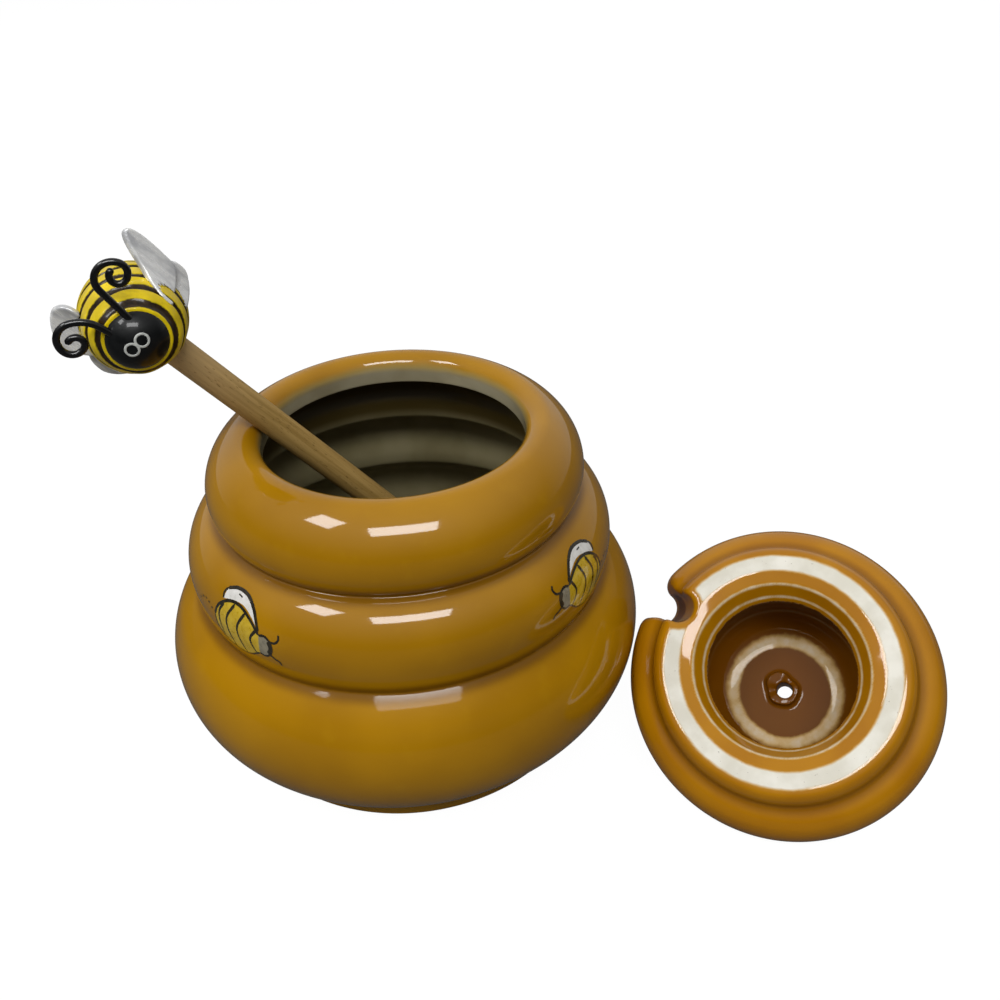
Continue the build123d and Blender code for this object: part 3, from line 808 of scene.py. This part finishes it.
def make_stick(material):
    """Stick and its turned head, with the edges of the discs sanded soft."""
    middle = HEAD_LENGTH / 2
    pitch = HEAD_LENGTH / (HEAD_GROOVES + 1)
    path = [(0, 0)]
    for z in np.arange(SCAN, STICK_LENGTH, 2 * SCAN):
        radius = STICK_RADIUS if z > middle else 0.0
        if z < HEAD_LENGTH:
            radius = max(radius, HEAD_RADIUS * bulge((z - middle) / middle))
            offset = abs((z / pitch + 0.5) % 1 - 0.5) * pitch
            if 0.5 < z / pitch < HEAD_GROOVES + 0.5 and offset < GROOVE_WIDTH / 2:
                radius = min(radius, CORE_RADIUS)
        path.append((radius, z))
    path.append((0, STICK_LENGTH))
    line = soften(path, lambda r, z: 0.22 if z < HEAD_LENGTH + 1 else 0.05)
    points, faces = lathe(thin_out(line, 10.0, 3.0), 72)
    add_piece("stick", points, faces, material, "dipper", "dipper_stick", "beech", dipper_place(),
              skin=points)


# ---- bee
def add_bee_piece(name, points, faces, material, node, slot, **more):
    add_piece(name, points, faces, material, "dipper", node, slot, BEE_PLACE, **more)


def about_y(points):
    """Turns a lathe's points, made about Z, so that its axis is Y."""
    points = np.asarray(points)
    return np.stack([points[:, 0], points[:, 2], -points[:, 1]], 1)


def bee_radius(y):
    """Radius of the ribbed egg at a place along it."""
    offset = y - BEE_SETBACK
    radius = BEE_RADIUS * bulge(offset / (BEE_NOSE if offset < 0 else BEE_TAIL))
    for station in BEE_STRIPES:
        near = abs(y - station)
        if near < STRIPE_RADIUS:
            cut = sqrt(STRIPE_RADIUS ** 2 - near ** 2) - (STRIPE_RADIUS - STRIPE_DEPTH)
            radius -= max(0.0, cut)
    return radius


def make_bee_body(material):
    """Ribbed egg whose grooves wander a little, as hand-rolled clay does."""
    stop = BEE_SETBACK + BEE_TAIL
    path = [(0, -BEE_FACE)] + [(bee_radius(y), y) for y in np.arange(-BEE_FACE, stop, SCAN)] + [(0, stop)]
    line = soften(path, lambda r, y: 0.55 if y < -BEE_FACE + 0.6 else 0.16)
    points, faces = lathe(thin_out(line, 5.0, 0.6), 144)
    angle = np.arctan2(points[:, 1], points[:, 0])
    y = points[:, 2].copy()
    paint = np.zeros(len(points))
    for station in BEE_STRIPES:
        paint = np.maximum(paint, fade(np.abs(y - station), 0.3, 1.05))
    wander = waves(angle, ((0.28, 2, 0.4 * y), (0.16, 5, -0.7 * y), (0.1, 9, y)))
    points[:, 2] += wander * smooth_step(y, -BEE_FACE, -BEE_FACE + 1.5) * fade(y, stop - 2.5, stop - 0.5)
    add_bee_piece("bee_coat", about_y(points), faces, material, "bee_body", "bee_yellow",
                  skin=np.stack([paint, points[:, 2], angle], 1))


def make_bee_head(material):
    """Flattened ball, cut flat where it sits on the body."""
    path = [(0, -FACE_FORWARD - FACE_DEPTH)]
    for turn in np.linspace(0, pi / 2, 60)[1:]:
        path.append((FACE_RADIUS * sin(turn), -FACE_FORWARD - FACE_DEPTH * cos(turn)))
    back = FACE_RADIUS * bulge((FACE_FORWARD - BEE_FACE) / FACE_DEPTH)
    path = [p for p in path if p[1] < -BEE_FACE] + [(back, -BEE_FACE), (0, -BEE_FACE)]
    points, faces = lathe(thin_out(soften(path, lambda r, y: 0.15), 4.0, 0.6), 96)
    add_bee_piece("bee_face", about_y(points), faces, material, "bee_head", "bee_black")


def make_eyes(material):
    """Two painted rings that touch, on the front of the head."""
    middle = np.array([0, -FACE_FORWARD, 0])
    reach = np.array([FACE_RADIUS, FACE_DEPTH, FACE_RADIUS])
    points = []
    faces = []
    sides = 10
    segments = 64
    for eye in (-1, 1):
        aim = unit((eye * EYE_OUT, -FACE_DEPTH, EYE_UP))
        side = unit(np.cross(aim, (0, 0, 1)))
        up = np.cross(side, aim)
        faces += grid(segments, sides, len(points), rows_meet=True, columns_meet=True)
        for turn in np.arange(segments) * 2 * pi / segments:
            spoke = side * cos(turn) + up * sin(turn)
            for roll in np.arange(sides) * 2 * pi / sides:
                spot = aim * FACE_DEPTH + spoke * (EYE_RADIUS + EYE_STROKE / 2 * cos(roll))
                share = 1 / np.linalg.norm(spot / reach)
                points.append(middle + spot * share + unit(spot) * EYE_LIFT * (sin(roll) + 0.4))
    add_bee_piece("eyes", points, faces, material, None, "bee_black")


def wing_field(wing, side):
    """Field of a wing's two cupped blades, less the body that they sit on."""
    angle = radians(wing["sweep"])
    across = np.array([cos(angle), sin(angle), 0])
    back = np.array([sin(angle), -cos(angle), 0])
    root = np.array([*wing["root"], 0])
    outlines = {name: closed_curve(wing[name]) for name in ("fore", "hind")}

    def blade(points, name, setback):
        local = points - root
        x = local @ across
        z = local @ back + setback
        middle = sum(corner[0] for corner in wing[name]) / len(wing[name])
        lift = np.hypot(x - middle, z - (WING_CUP_RADIUS - WING_CUP_DEPTH)) - WING_CUP_RADIUS
        plate = np.abs(lift - WING_THICKNESS / 2) - WING_THICKNESS / 2
        plate = np.maximum(plate, z - WING_CUP_DEPTH)
        rim = polygon_distance(outlines[name], np.stack([x, local[:, 2]], 1))
        return both(plate, rim, 0.55)

    def field(points):
        points = points * (side, 1, 1)
        blades = np.minimum(blade(points, "fore", 0), blade(points, "hind", HIND_SETBACK))
        offset = points[:, 1] - BEE_SETBACK
        length = np.where(offset < 0, BEE_NOSE, BEE_TAIL)
        radius = np.hypot(points[:, 0], points[:, 2])
        egg = (np.hypot(radius / BEE_RADIUS, offset / length) - 1) * BEE_RADIUS
        return np.maximum(blades, -egg)
    return field


def make_wing(name, node, wing, side, material):
    step = 0.28
    low = (4.0 if side > 0 else -19.0, -12.0, -10.5)
    high = (19.0 if side > 0 else -4.0, 4.0, 15.5)
    points, faces, normals = skin_of(wing_field(wing, side), low, high, step, reach=0.12)
    add_bee_piece(name, points, faces, material, node, "wing_silver", normals=normals, skin=points)


def antenna_path(antenna):
    """Points along the wire in the bee's X and Z, from its root to its tip."""
    ahead = turned(np.array([1.0, 0]), radians(antenna["heading"]))
    path = [np.array(antenna["root"]) + ahead * antenna["run"] * k / 8 for k in range(9)]
    for radius, turn in antenna["curls"]:
        centre = path[-1] + turned(ahead, copysign(pi / 2, turn)) * radius
        spoke = path[-1] - centre
        steps = max(6, int(abs(turn) / 6))
        turn = radians(turn)
        path.extend(centre + turned(spoke, turn * k / steps) for k in range(1, steps + 1))
        ahead = turned(ahead, turn)
    return np.array(path)


def tube(path, radius, sides=20):
    """Round wire along a path across Y, with domed ends."""
    ahead = headings(path)
    caps = radius * np.sin(CAP_TURNS)[:, None]
    widths = radius * np.maximum(np.cos(CAP_TURNS), 0.02)
    widths = np.concatenate([widths[::-1], np.full(len(path), radius), widths])[:, None, None]
    centres = np.concatenate([(path[0] - caps * ahead[0])[::-1], path, path[-1] + caps * ahead[-1]])
    ways = np.concatenate([[ahead[0]] * len(caps), ahead, [ahead[-1]] * len(caps)])
    side = np.array([0.0, 1, 0])
    angles = (np.arange(sides) * 2 * pi / sides)[:, None]
    spokes = np.cos(angles) * side + np.sin(angles) * np.cross(ways, side)[:, None]
    points = (centres[:, None] + widths * spokes).reshape(-1, 3)
    # Turned over, each quad keeps its first corner and faces outwards.
    faces = [quad[:1] + quad[:0:-1] for quad in grid(len(centres), sides, columns_meet=True)]
    last = len(points) - sides
    return points, faces + [list(range(sides))[::-1], list(range(last, len(points)))]


def make_antenna(name, node, antenna, material):
    flat = antenna_path(antenna)
    path = np.stack([flat[:, 0], np.full(len(flat), -WIRE_FORWARD), flat[:, 1]], 1)
    add_bee_piece(name, *tube(path, WIRE_RADIUS), material, node, "wire_black")


# ---- materials
class Nodes:
    """Short hand for building the node tree of a material or of the world."""

    def __init__(self, owner, shader="Principled BSDF"):
        owner.use_nodes = True
        self.owner = owner
        self.tree = owner.node_tree
        self.shader = self.tree.nodes[shader]

    def feed(self, node, name, value):
        """Sets an input, by its name or number, or links it where the value is a socket."""
        socket = node.inputs[name.replace("_", " ") if isinstance(name, str) else name]
        if isinstance(value, bpy.types.NodeSocket):
            self.tree.links.new(value, socket)
        else:
            socket.default_value = value

    def add(self, kind, *values, **inputs):
        """New node with its first inputs in order, and others by name."""
        node = self.tree.nodes.new("ShaderNode" + kind)
        for name, value in [*enumerate(values), *inputs.items()]:
            self.feed(node, name, value)
        return node

    def set(self, **inputs):
        for name, value in inputs.items():
            self.feed(self.shader, name, value)

    def skin(self):
        """Three numbers that the mesh carries for its material, together and one by one."""
        node = self.add("Attribute")
        node.attribute_name = "skin"
        split = self.add("SeparateXYZ", node.outputs["Vector"])
        return node.outputs["Vector"], split.outputs["X"], split.outputs["Y"], split.outputs["Z"]

    def place(self):
        """Position on the object in millimetres."""
        node = self.add("VectorMath")
        node.operation = "SCALE"
        self.feed(node, 0, self.add("TexCoord").outputs["Object"])
        self.feed(node, "Scale", 1 / MM)
        return node.outputs["Vector"]

    def stretch(self, vector, along):
        """A vector whose third part runs slower, so that what follows it is drawn out that way."""
        return self.add("Mapping", Vector=vector, Scale=(1.0, 1.0, along)).outputs["Vector"]

    def noise(self, vector, size, detail=2.0, roughness=0.5):
        """Noise whose features are about a size in millimetres."""
        node = self.add("TexNoise", Vector=vector, Scale=1.0 / size, Detail=detail, Roughness=roughness)
        return node.outputs["Fac"]

    def ramp(self, value, low, high, start=0.0, end=1.0):
        """Smooth change from `start` to `end` while a value goes from low to high."""
        node = self.add("MapRange", value, low, high, start, end)
        node.interpolation_type = "SMOOTHSTEP"
        return node.outputs["Result"]

    def math(self, kind, a, b):
        node = self.add("Math", a, b)
        node.operation = kind
        return node.outputs[0]

    def plus(self, a, b, share):
        """One value and a share of another."""
        return self.math("ADD", a, self.math("MULTIPLY", b, share))

    def ragged(self, value, noise, size):
        """A value that noise moves up and down by half a size."""
        return self.plus(value, self.math("SUBTRACT", noise, 0.5), size)

    def mix(self, share, a, b):
        """Colour between two. A Mix node's colours are its inputs 6 and 7 and its output 2."""
        node = self.add("Mix", share)
        node.data_type = "RGBA"
        self.feed(node, 6, a)
        self.feed(node, 7, b)
        return node.outputs[2]

    def bump(self, height, distance):
        """Bump whose full height is a distance in millimetres."""
        node = self.add("Bump", Height=height, Distance=distance * MM, Strength=1.0)
        self.set(Normal=node.outputs["Normal"])


def paint(name):
    """Nodes of a new material."""
    return Nodes(bpy.data.materials.new(name))


def rgb(red, green, blue):
    """Linear colour from the sRGB numbers, 0 to 255, that it looks like."""
    def linear(value):
        value /= 255
        return value / 12.92 if value <= 0.04045 else ((value + 0.055) / 1.055) ** 2.4
    return (linear(red), linear(green), linear(blue), 1.0)


def pot_glaze():
    """Clear amber glaze, darker where it pools in the creases, which also paints their shade, over a
    grey-white inside that is painted darker further in as shade.
    """
    n = paint("pot_glaze")
    place = n.place()
    _, inside, pool_and_shade, height = n.skin()
    fine = n.noise(place, 5.0, 3.0)
    amber = n.mix(n.ramp(n.noise(place, 26.0), 0.35, 0.68), rgb(158, 111, 1), rgb(170, 121, 1))
    amber = n.mix(n.ramp(fine, 0.55, 0.9, 0, 0.25), amber, rgb(180, 134, 10))
    # Painted shade: the creases are painted dark brown, partly as pooled glaze and partly as their shade.
    amber = n.mix(n.ramp(n.plus(pool_and_shade, fine, 0.2), 0.15, 1.15, 0, 0.75), amber, rgb(100, 62, 1))
    # The amber runs over the lip and fades out on the throat, along a slightly wavy line.
    edge = n.ragged(inside, n.noise(place, 9.0), 0.035)
    white = n.mix(n.ramp(n.noise(place, 12.0, 3.0), 0.3, 0.7), rgb(140, 131, 104), rgb(158, 150, 124))
    # Painted shade: further inside, the grey-white is painted darker.
    deep_shade = n.mix(n.ramp(n.noise(place, 15.0, 3.0), 0.3, 0.7), rgb(112, 104, 74), rgb(128, 120, 90))
    # Under the shoulder the inside is painted darkest: painted shade.
    shoulder_shade = n.math("MULTIPLY", n.ramp(height, 0.715, 0.765), n.ramp(height, 0.86, 0.895, 1.0, 0.0))
    deep_shade = n.mix(n.math("MULTIPLY", shoulder_shade, 0.9), deep_shade, rgb(56, 43, 8))
    white = n.mix(n.ramp(edge, 0.5, 0.9), white, deep_shade)
    thin = n.mix(n.ramp(edge, 0.04, 0.10), amber, rgb(160, 136, 76))
    # The glaze is duller on the lowest lobe's shoulder and inside.
    dull = n.math("MULTIPLY", n.ramp(height, 0.42, 0.46), n.ramp(height, 0.50, 0.53, 1.0, 0.0))
    bright = n.math("SUBTRACT", 1.0, n.math("MULTIPLY", dull, 0.8))
    n.set(Base_Color=n.mix(n.ramp(edge, 0.08, 0.145), thin, white), Roughness=0.42,
          Coat_Weight=n.math("MULTIPLY", n.ramp(edge, 0.5, 0.9, 1.0, 0.15), bright),
          Specular_IOR_Level=0.06, Coat_Roughness=0.06, Coat_IOR=1.5)
    n.bump(n.plus(n.noise(place, 16.0, 1.0), n.noise(place, 3.0), 0.05), 0.22)
    return n.owner


def lid_glaze():
    """The pot's amber, more orange, with a bare white ring where the lid stands in the kiln, and a painted
    reflection and painted highlights in its pale colours.
    """
    n = paint("lid_glaze")
    place = n.place()
    _, ring, pool_and_shade, hollow_shade_depth = n.skin()
    amber = n.mix(n.ramp(n.noise(place, 18.0), 0.35, 0.68), rgb(168, 110, 1), rgb(180, 122, 3))
    # Painted shade: the creases are painted dark brown.
    crease_shade_share = n.ramp(n.plus(pool_and_shade, n.noise(place, 4.0, 3.0), 0.2), 0.15, 1.15, 0, 0.5)
    amber = n.mix(crease_shade_share, amber, rgb(92, 50, 1))
    # Painted shade: inside the hollow the amber is painted darker.
    amber = n.mix(n.math("MULTIPLY", hollow_shade_depth, 0.85), amber, rgb(92, 46, 1))
    edge = n.ragged(ring, n.noise(place, 2.6, 3.0), 0.4)
    bare = n.mix(n.ramp(n.noise(place, 6.0, 3.0), 0.35, 0.7), rgb(216, 212, 198), rgb(232, 229, 218))
    specks = n.ramp(n.noise(place, 0.55, 2.0, 0.6), 0.70, 0.76)
    bare = n.mix(n.math("MULTIPLY", specks, 0.75), bare, rgb(120, 105, 85))
    # The pale halo is the glaze thinning at the bare ring's edge, and it also paints the cove's reflection
    # and the funnel's highlights.
    halo_and_sheen = n.mix(n.ramp(edge, 0.12, 0.5), amber, rgb(198, 160, 92))
    # There is no gloss on the bare ring, and less of it inside.
    glossy = n.ramp(hollow_shade_depth, 0.2, 0.9, 1.0, 0.55)
    n.set(Base_Color=n.mix(n.ramp(edge, 0.32, 0.85), halo_and_sheen, bare),
          Roughness=n.ramp(edge, 0.40, 0.80, 0.42, 0.85),
          Coat_Weight=n.math("MULTIPLY", n.ramp(edge, 0.35, 0.75, 1.0, 0.0), glossy),
          Specular_IOR_Level=0.06, Coat_Roughness=0.05, Coat_IOR=1.5)
    n.bump(n.plus(n.noise(place, 12.0, 1.0), n.noise(place, 2.5), 0.06), 0.18)
    return n.owner


def beech():
    """Sanded beech: fine grain along the stick, short dark flecks and a few broader streaks."""
    n = paint("beech")
    local, _, _, along = n.skin()
    streak = n.noise(n.stretch(local, 0.035), 0.9, 4.0, 0.6)
    broad = n.noise(n.stretch(local, 0.06), 3.2)
    fleck = n.noise(n.stretch(local, 0.22), 0.34)
    color = n.mix(n.ramp(streak, 0.3, 0.72), rgb(154, 122, 62), rgb(188, 154, 90))
    color = n.mix(n.ramp(broad, 0.35, 0.75, 0, 0.45), color, rgb(174, 138, 74))
    # The wood is painted paler near the bee, as painted light.
    color = n.mix(n.ramp(along, 88.0, 122.0, 0, 0.6), color, rgb(212, 180, 132))
    color = n.mix(n.ramp(fleck, 0.60, 0.74, 0, 0.6), color, rgb(100, 72, 32))
    n.set(Base_Color=color, Roughness=n.ramp(streak, 0.2, 0.8, 0.62, 0.78), Specular_IOR_Level=0.3)
    n.bump(n.plus(streak, fleck, -0.6), 0.05)
    return n.owner


def bee_paint():
    """Yellow bands with dark brown brushed into the grooves and an olive painted shade beside them, under
    varnish.
    """
    n = paint("bee_yellow")
    place = n.place()
    _, groove, _, _ = n.skin()
    brush = n.noise(place, 1.3, 3.0, 0.6)
    yellow = n.mix(n.ramp(n.noise(place, 4.0), 0.35, 0.7), rgb(214, 186, 2), rgb(240, 210, 6))
    yellow = n.mix(n.ramp(n.noise(place, 0.7), 0.62, 0.8, 0, 0.4), yellow, rgb(150, 132, 10))
    edge = n.ragged(groove, brush, 0.7)
    brown = n.mix(n.ramp(brush, 0.35, 0.7), rgb(26, 15, 3), rgb(54, 35, 8))
    # Painted shade: the yellow turns olive beside each groove.
    olive_shade = n.mix(n.ramp(edge, 0.22, 0.5), yellow, rgb(140, 124, 14))
    n.set(Base_Color=n.mix(n.ramp(edge, 0.42, 0.62), olive_shade, brown), Roughness=0.42,
          Specular_IOR_Level=0.2, Coat_Weight=0.4, Coat_Roughness=0.12)
    n.bump(n.math("ADD", brush, n.noise(place, 3.0, 1.0)), 0.10)
    return n.owner


def wing_silver():
    """Silver paint over clay, brushed along the blades."""
    n = paint("wing_silver")
    local, _, _, _ = n.skin()
    streak = n.noise(n.stretch(local, 0.22), 1.7, 3.0)
    n.set(Base_Color=n.mix(n.ramp(streak, 0.34, 0.62), rgb(200, 201, 203), rgb(248, 248, 246)),
          Roughness=n.ramp(streak, 0.3, 0.7, 0.36, 0.24),
          Metallic=0.3, Coat_Weight=0.6, Coat_Roughness=0.08)
    n.bump(n.plus(streak, n.noise(local, 0.8), 0.2), 0.22)
    return n.owner


def plain(name, color, other, size, roughness, coat, bump=0.0, specular=0.5):
    """Two close colours, as sRGB numbers, mottled together under a thin varnish."""
    n = paint(name)
    place = n.place()
    mottle = n.noise(place, size, 3.0)
    n.set(Base_Color=n.mix(n.ramp(mottle, 0.35, 0.68), rgb(*color), rgb(*other)),
          Roughness=n.ramp(mottle, 0.3, 0.7, roughness * 0.85, roughness * 1.15),
          Specular_IOR_Level=specular, Coat_Weight=coat, Coat_Roughness=0.08)
    n.bump(n.noise(place, 1.0), bump)
    return n.owner


# ---- pieces
make_pot(pot_glaze())
decal_inks = [plain("decal_" + name, *colors, 0.3, 0.8) for name, *colors in
              (("white", (214, 212, 206), (228, 226, 222), 2.0),
               ("yellow", (192, 158, 26), (208, 176, 44), 1.6),
               ("grey", (128, 122, 104), (146, 138, 116), 1.2),
               ("ink", (30, 26, 16), (46, 40, 24), 1.2))]
make_decal("painted_bee_left", -127.8, 0.8, 0.0, 1, decal_inks)
make_decal("painted_bee_right", -32.6, 1.5, 10.0, -1, decal_inks)
make_lid(lid_glaze())
make_stick(beech())
make_bee_body(bee_paint())
make_bee_head(plain("bee_black", (6, 8, 9), (12, 14, 15), 2.0, 0.42, 0.4, bump=0.02, specular=0.25))
make_eyes(plain("eye_white", (178, 180, 176), (202, 204, 198), 0.8, 0.35, 0.5, bump=0.01))
silver = wing_silver()
make_wing("wing_right", "bee_wing_right", RIGHT_WING, 1, silver)
make_wing("wing_left", "bee_wing_left", LEFT_WING, -1, silver)
wire = plain("wire_black", (3, 3, 4), (7, 7, 8), 1.5, 0.25, 0.5, bump=0.01)
make_antenna("antenna_right", "bee_antenna_right", RIGHT_ANTENNA, wire)
make_antenna("antenna_left", "bee_antenna_left", LEFT_ANTENNA, wire)

# ---- camera, floor, world and lamps
SENSOR = 36.0
FOCAL = 1000.0
PRINCIPAL = (510.4, 422.4)
IMAGE = 1000.0
LOOK_DOWN = 0.526
ROLL = 0.020
CAMERA_SPOT = np.array([26.7, -198.5, 192.5])

# Brightness by the height and depth of a direction: from, to, dim and bright.
CEILING = (0.05, 0.85, 0.04, 0.42)
WALL = (-0.1, 0.8, 0.0, 0.5)
PURE_WHITE = (1, 1, 1, 1)
FLOOR_COLOR = (0.25, 0.25, 0.25, 1)
FLOOR_SIZE = 4.0
FLOOR_DROP = 0.0002
FLOOR_WHITE = 1.22
FLOOR_REFLECTED = 0.05
FLOOR_GLOW_SHARE = 0.8
LAMP_DISTANCE = 1.2
POT_MIDDLE = np.array([0.0, 0.0, 0.06])


def make_camera():
    """Camera of the photograph: its place, tilt, roll, focal length and framing."""
    ahead = np.array([0, cos(LOOK_DOWN), -sin(LOOK_DOWN)])
    down = np.array([0, -sin(LOOK_DOWN), -cos(LOOK_DOWN)])
    right = cos(ROLL) * np.array([1.0, 0, 0]) + sin(ROLL) * down
    data = bpy.data.cameras.new("camera")
    data.sensor_width = SENSOR
    data.lens = SENSOR * FOCAL / IMAGE
    data.shift_x = (IMAGE / 2 - PRINCIPAL[0]) / IMAGE
    data.shift_y = (PRINCIPAL[1] - IMAGE / 2) / IMAGE
    data.clip_start = 0.005
    data.clip_end = 50
    bpy.context.scene.camera = stand("camera", data, place_of(CAMERA_SPOT * MM, right, -ahead))


def rays_of(n):
    """Two sockets: 1 for rays from the camera or through glass, and 1 for reflected rays."""
    path = n.add("LightPath")
    seen = n.math("MAXIMUM", path.outputs["Is Camera Ray"], path.outputs["Is Transmission Ray"])
    return seen, path.outputs["Is Glossy Ray"]


def make_world():
    """White to the camera. As light it is a soft ceiling, and reflections see a pale wall behind as well."""
    n = Nodes(bpy.data.worlds.new("world"), "Background")
    seen, glossy = rays_of(n)
    direction = n.add("SeparateXYZ", n.add("TexCoord").outputs["Generated"])
    ceiling = n.ramp(direction.outputs["Z"], *CEILING)
    wall = n.math("MULTIPLY", glossy, n.ramp(direction.outputs["Y"], *WALL))
    n.set(Color=PURE_WHITE, Strength=n.math("MAXIMUM", n.math("MAXIMUM", ceiling, wall), seen))
    bpy.context.scene.world = n.owner


def make_floor():
    """Pale floor that shows white to the camera and keeps a faint soft shadow of the object."""
    half = FLOOR_SIZE / 2
    corners = [(-half, -half, 0), (half, -half, 0), (half, half, 0), (-half, half, 0)]
    mesh = bpy.data.meshes.new("floor")
    mesh.from_pydata(corners, [], [(0, 1, 2, 3)])
    n = paint("floor")
    n.set(Base_Color=FLOOR_COLOR, Roughness=0.9, Specular_IOR_Level=0.0)
    seen, glossy = rays_of(n)
    # A fifth of what shows is the floor's own shading, which keeps the shadow. The glow makes up the rest.
    glow = n.add("Emission", PURE_WHITE, n.ramp(seen, 0.0, 1.0, FLOOR_REFLECTED, FLOOR_WHITE))
    share = n.math("MULTIPLY", n.math("MAXIMUM", seen, glossy), FLOOR_GLOW_SHARE)
    blend = n.add("MixShader", share, n.shader.outputs[0], glow.outputs[0])
    n.feed(n.tree.nodes["Material Output"], "Surface", blend.outputs[0])
    mesh.materials.append(n.owner)
    floor = stand("floor", mesh)
    floor.location = (0, 0, -FLOOR_DROP)


def add_lamp(name, bearing, height, width, tall, radiance, reflected=True):
    """Rectangular lamp that faces the pot, by its bearing, height and size, all as angles."""
    turn, lift = radians(bearing), radians(height)
    way = np.array([cos(lift) * cos(turn), cos(lift) * sin(turn), sin(lift)])
    right = unit(np.cross(way, (0, 0, 1)))
    data = bpy.data.lights.new(name, "AREA")
    data.shape = "RECTANGLE"
    data.size = 2 * LAMP_DISTANCE * tan(radians(width / 2))
    data.size_y = 2 * LAMP_DISTANCE * tan(radians(tall / 2))
    data.energy = radiance * pi * data.size * data.size_y
    lamp = stand(name, data, place_of(POT_MIDDLE + way * LAMP_DISTANCE, -right, way))
    lamp.visible_glossy = reflected


make_camera()
make_world()
make_floor()
add_lamp("key", -82, 54, 31, 13, 12.5)
add_lamp("side", -146, 54, 14, 13, 12.0)
add_lamp("fill", -176, 36, 70, 46, 0.75, reflected=False)
add_lamp("back", 98, 34, 80, 46, 0.55, reflected=False)

bpy.context.scene.view_settings.view_transform = "Standard"
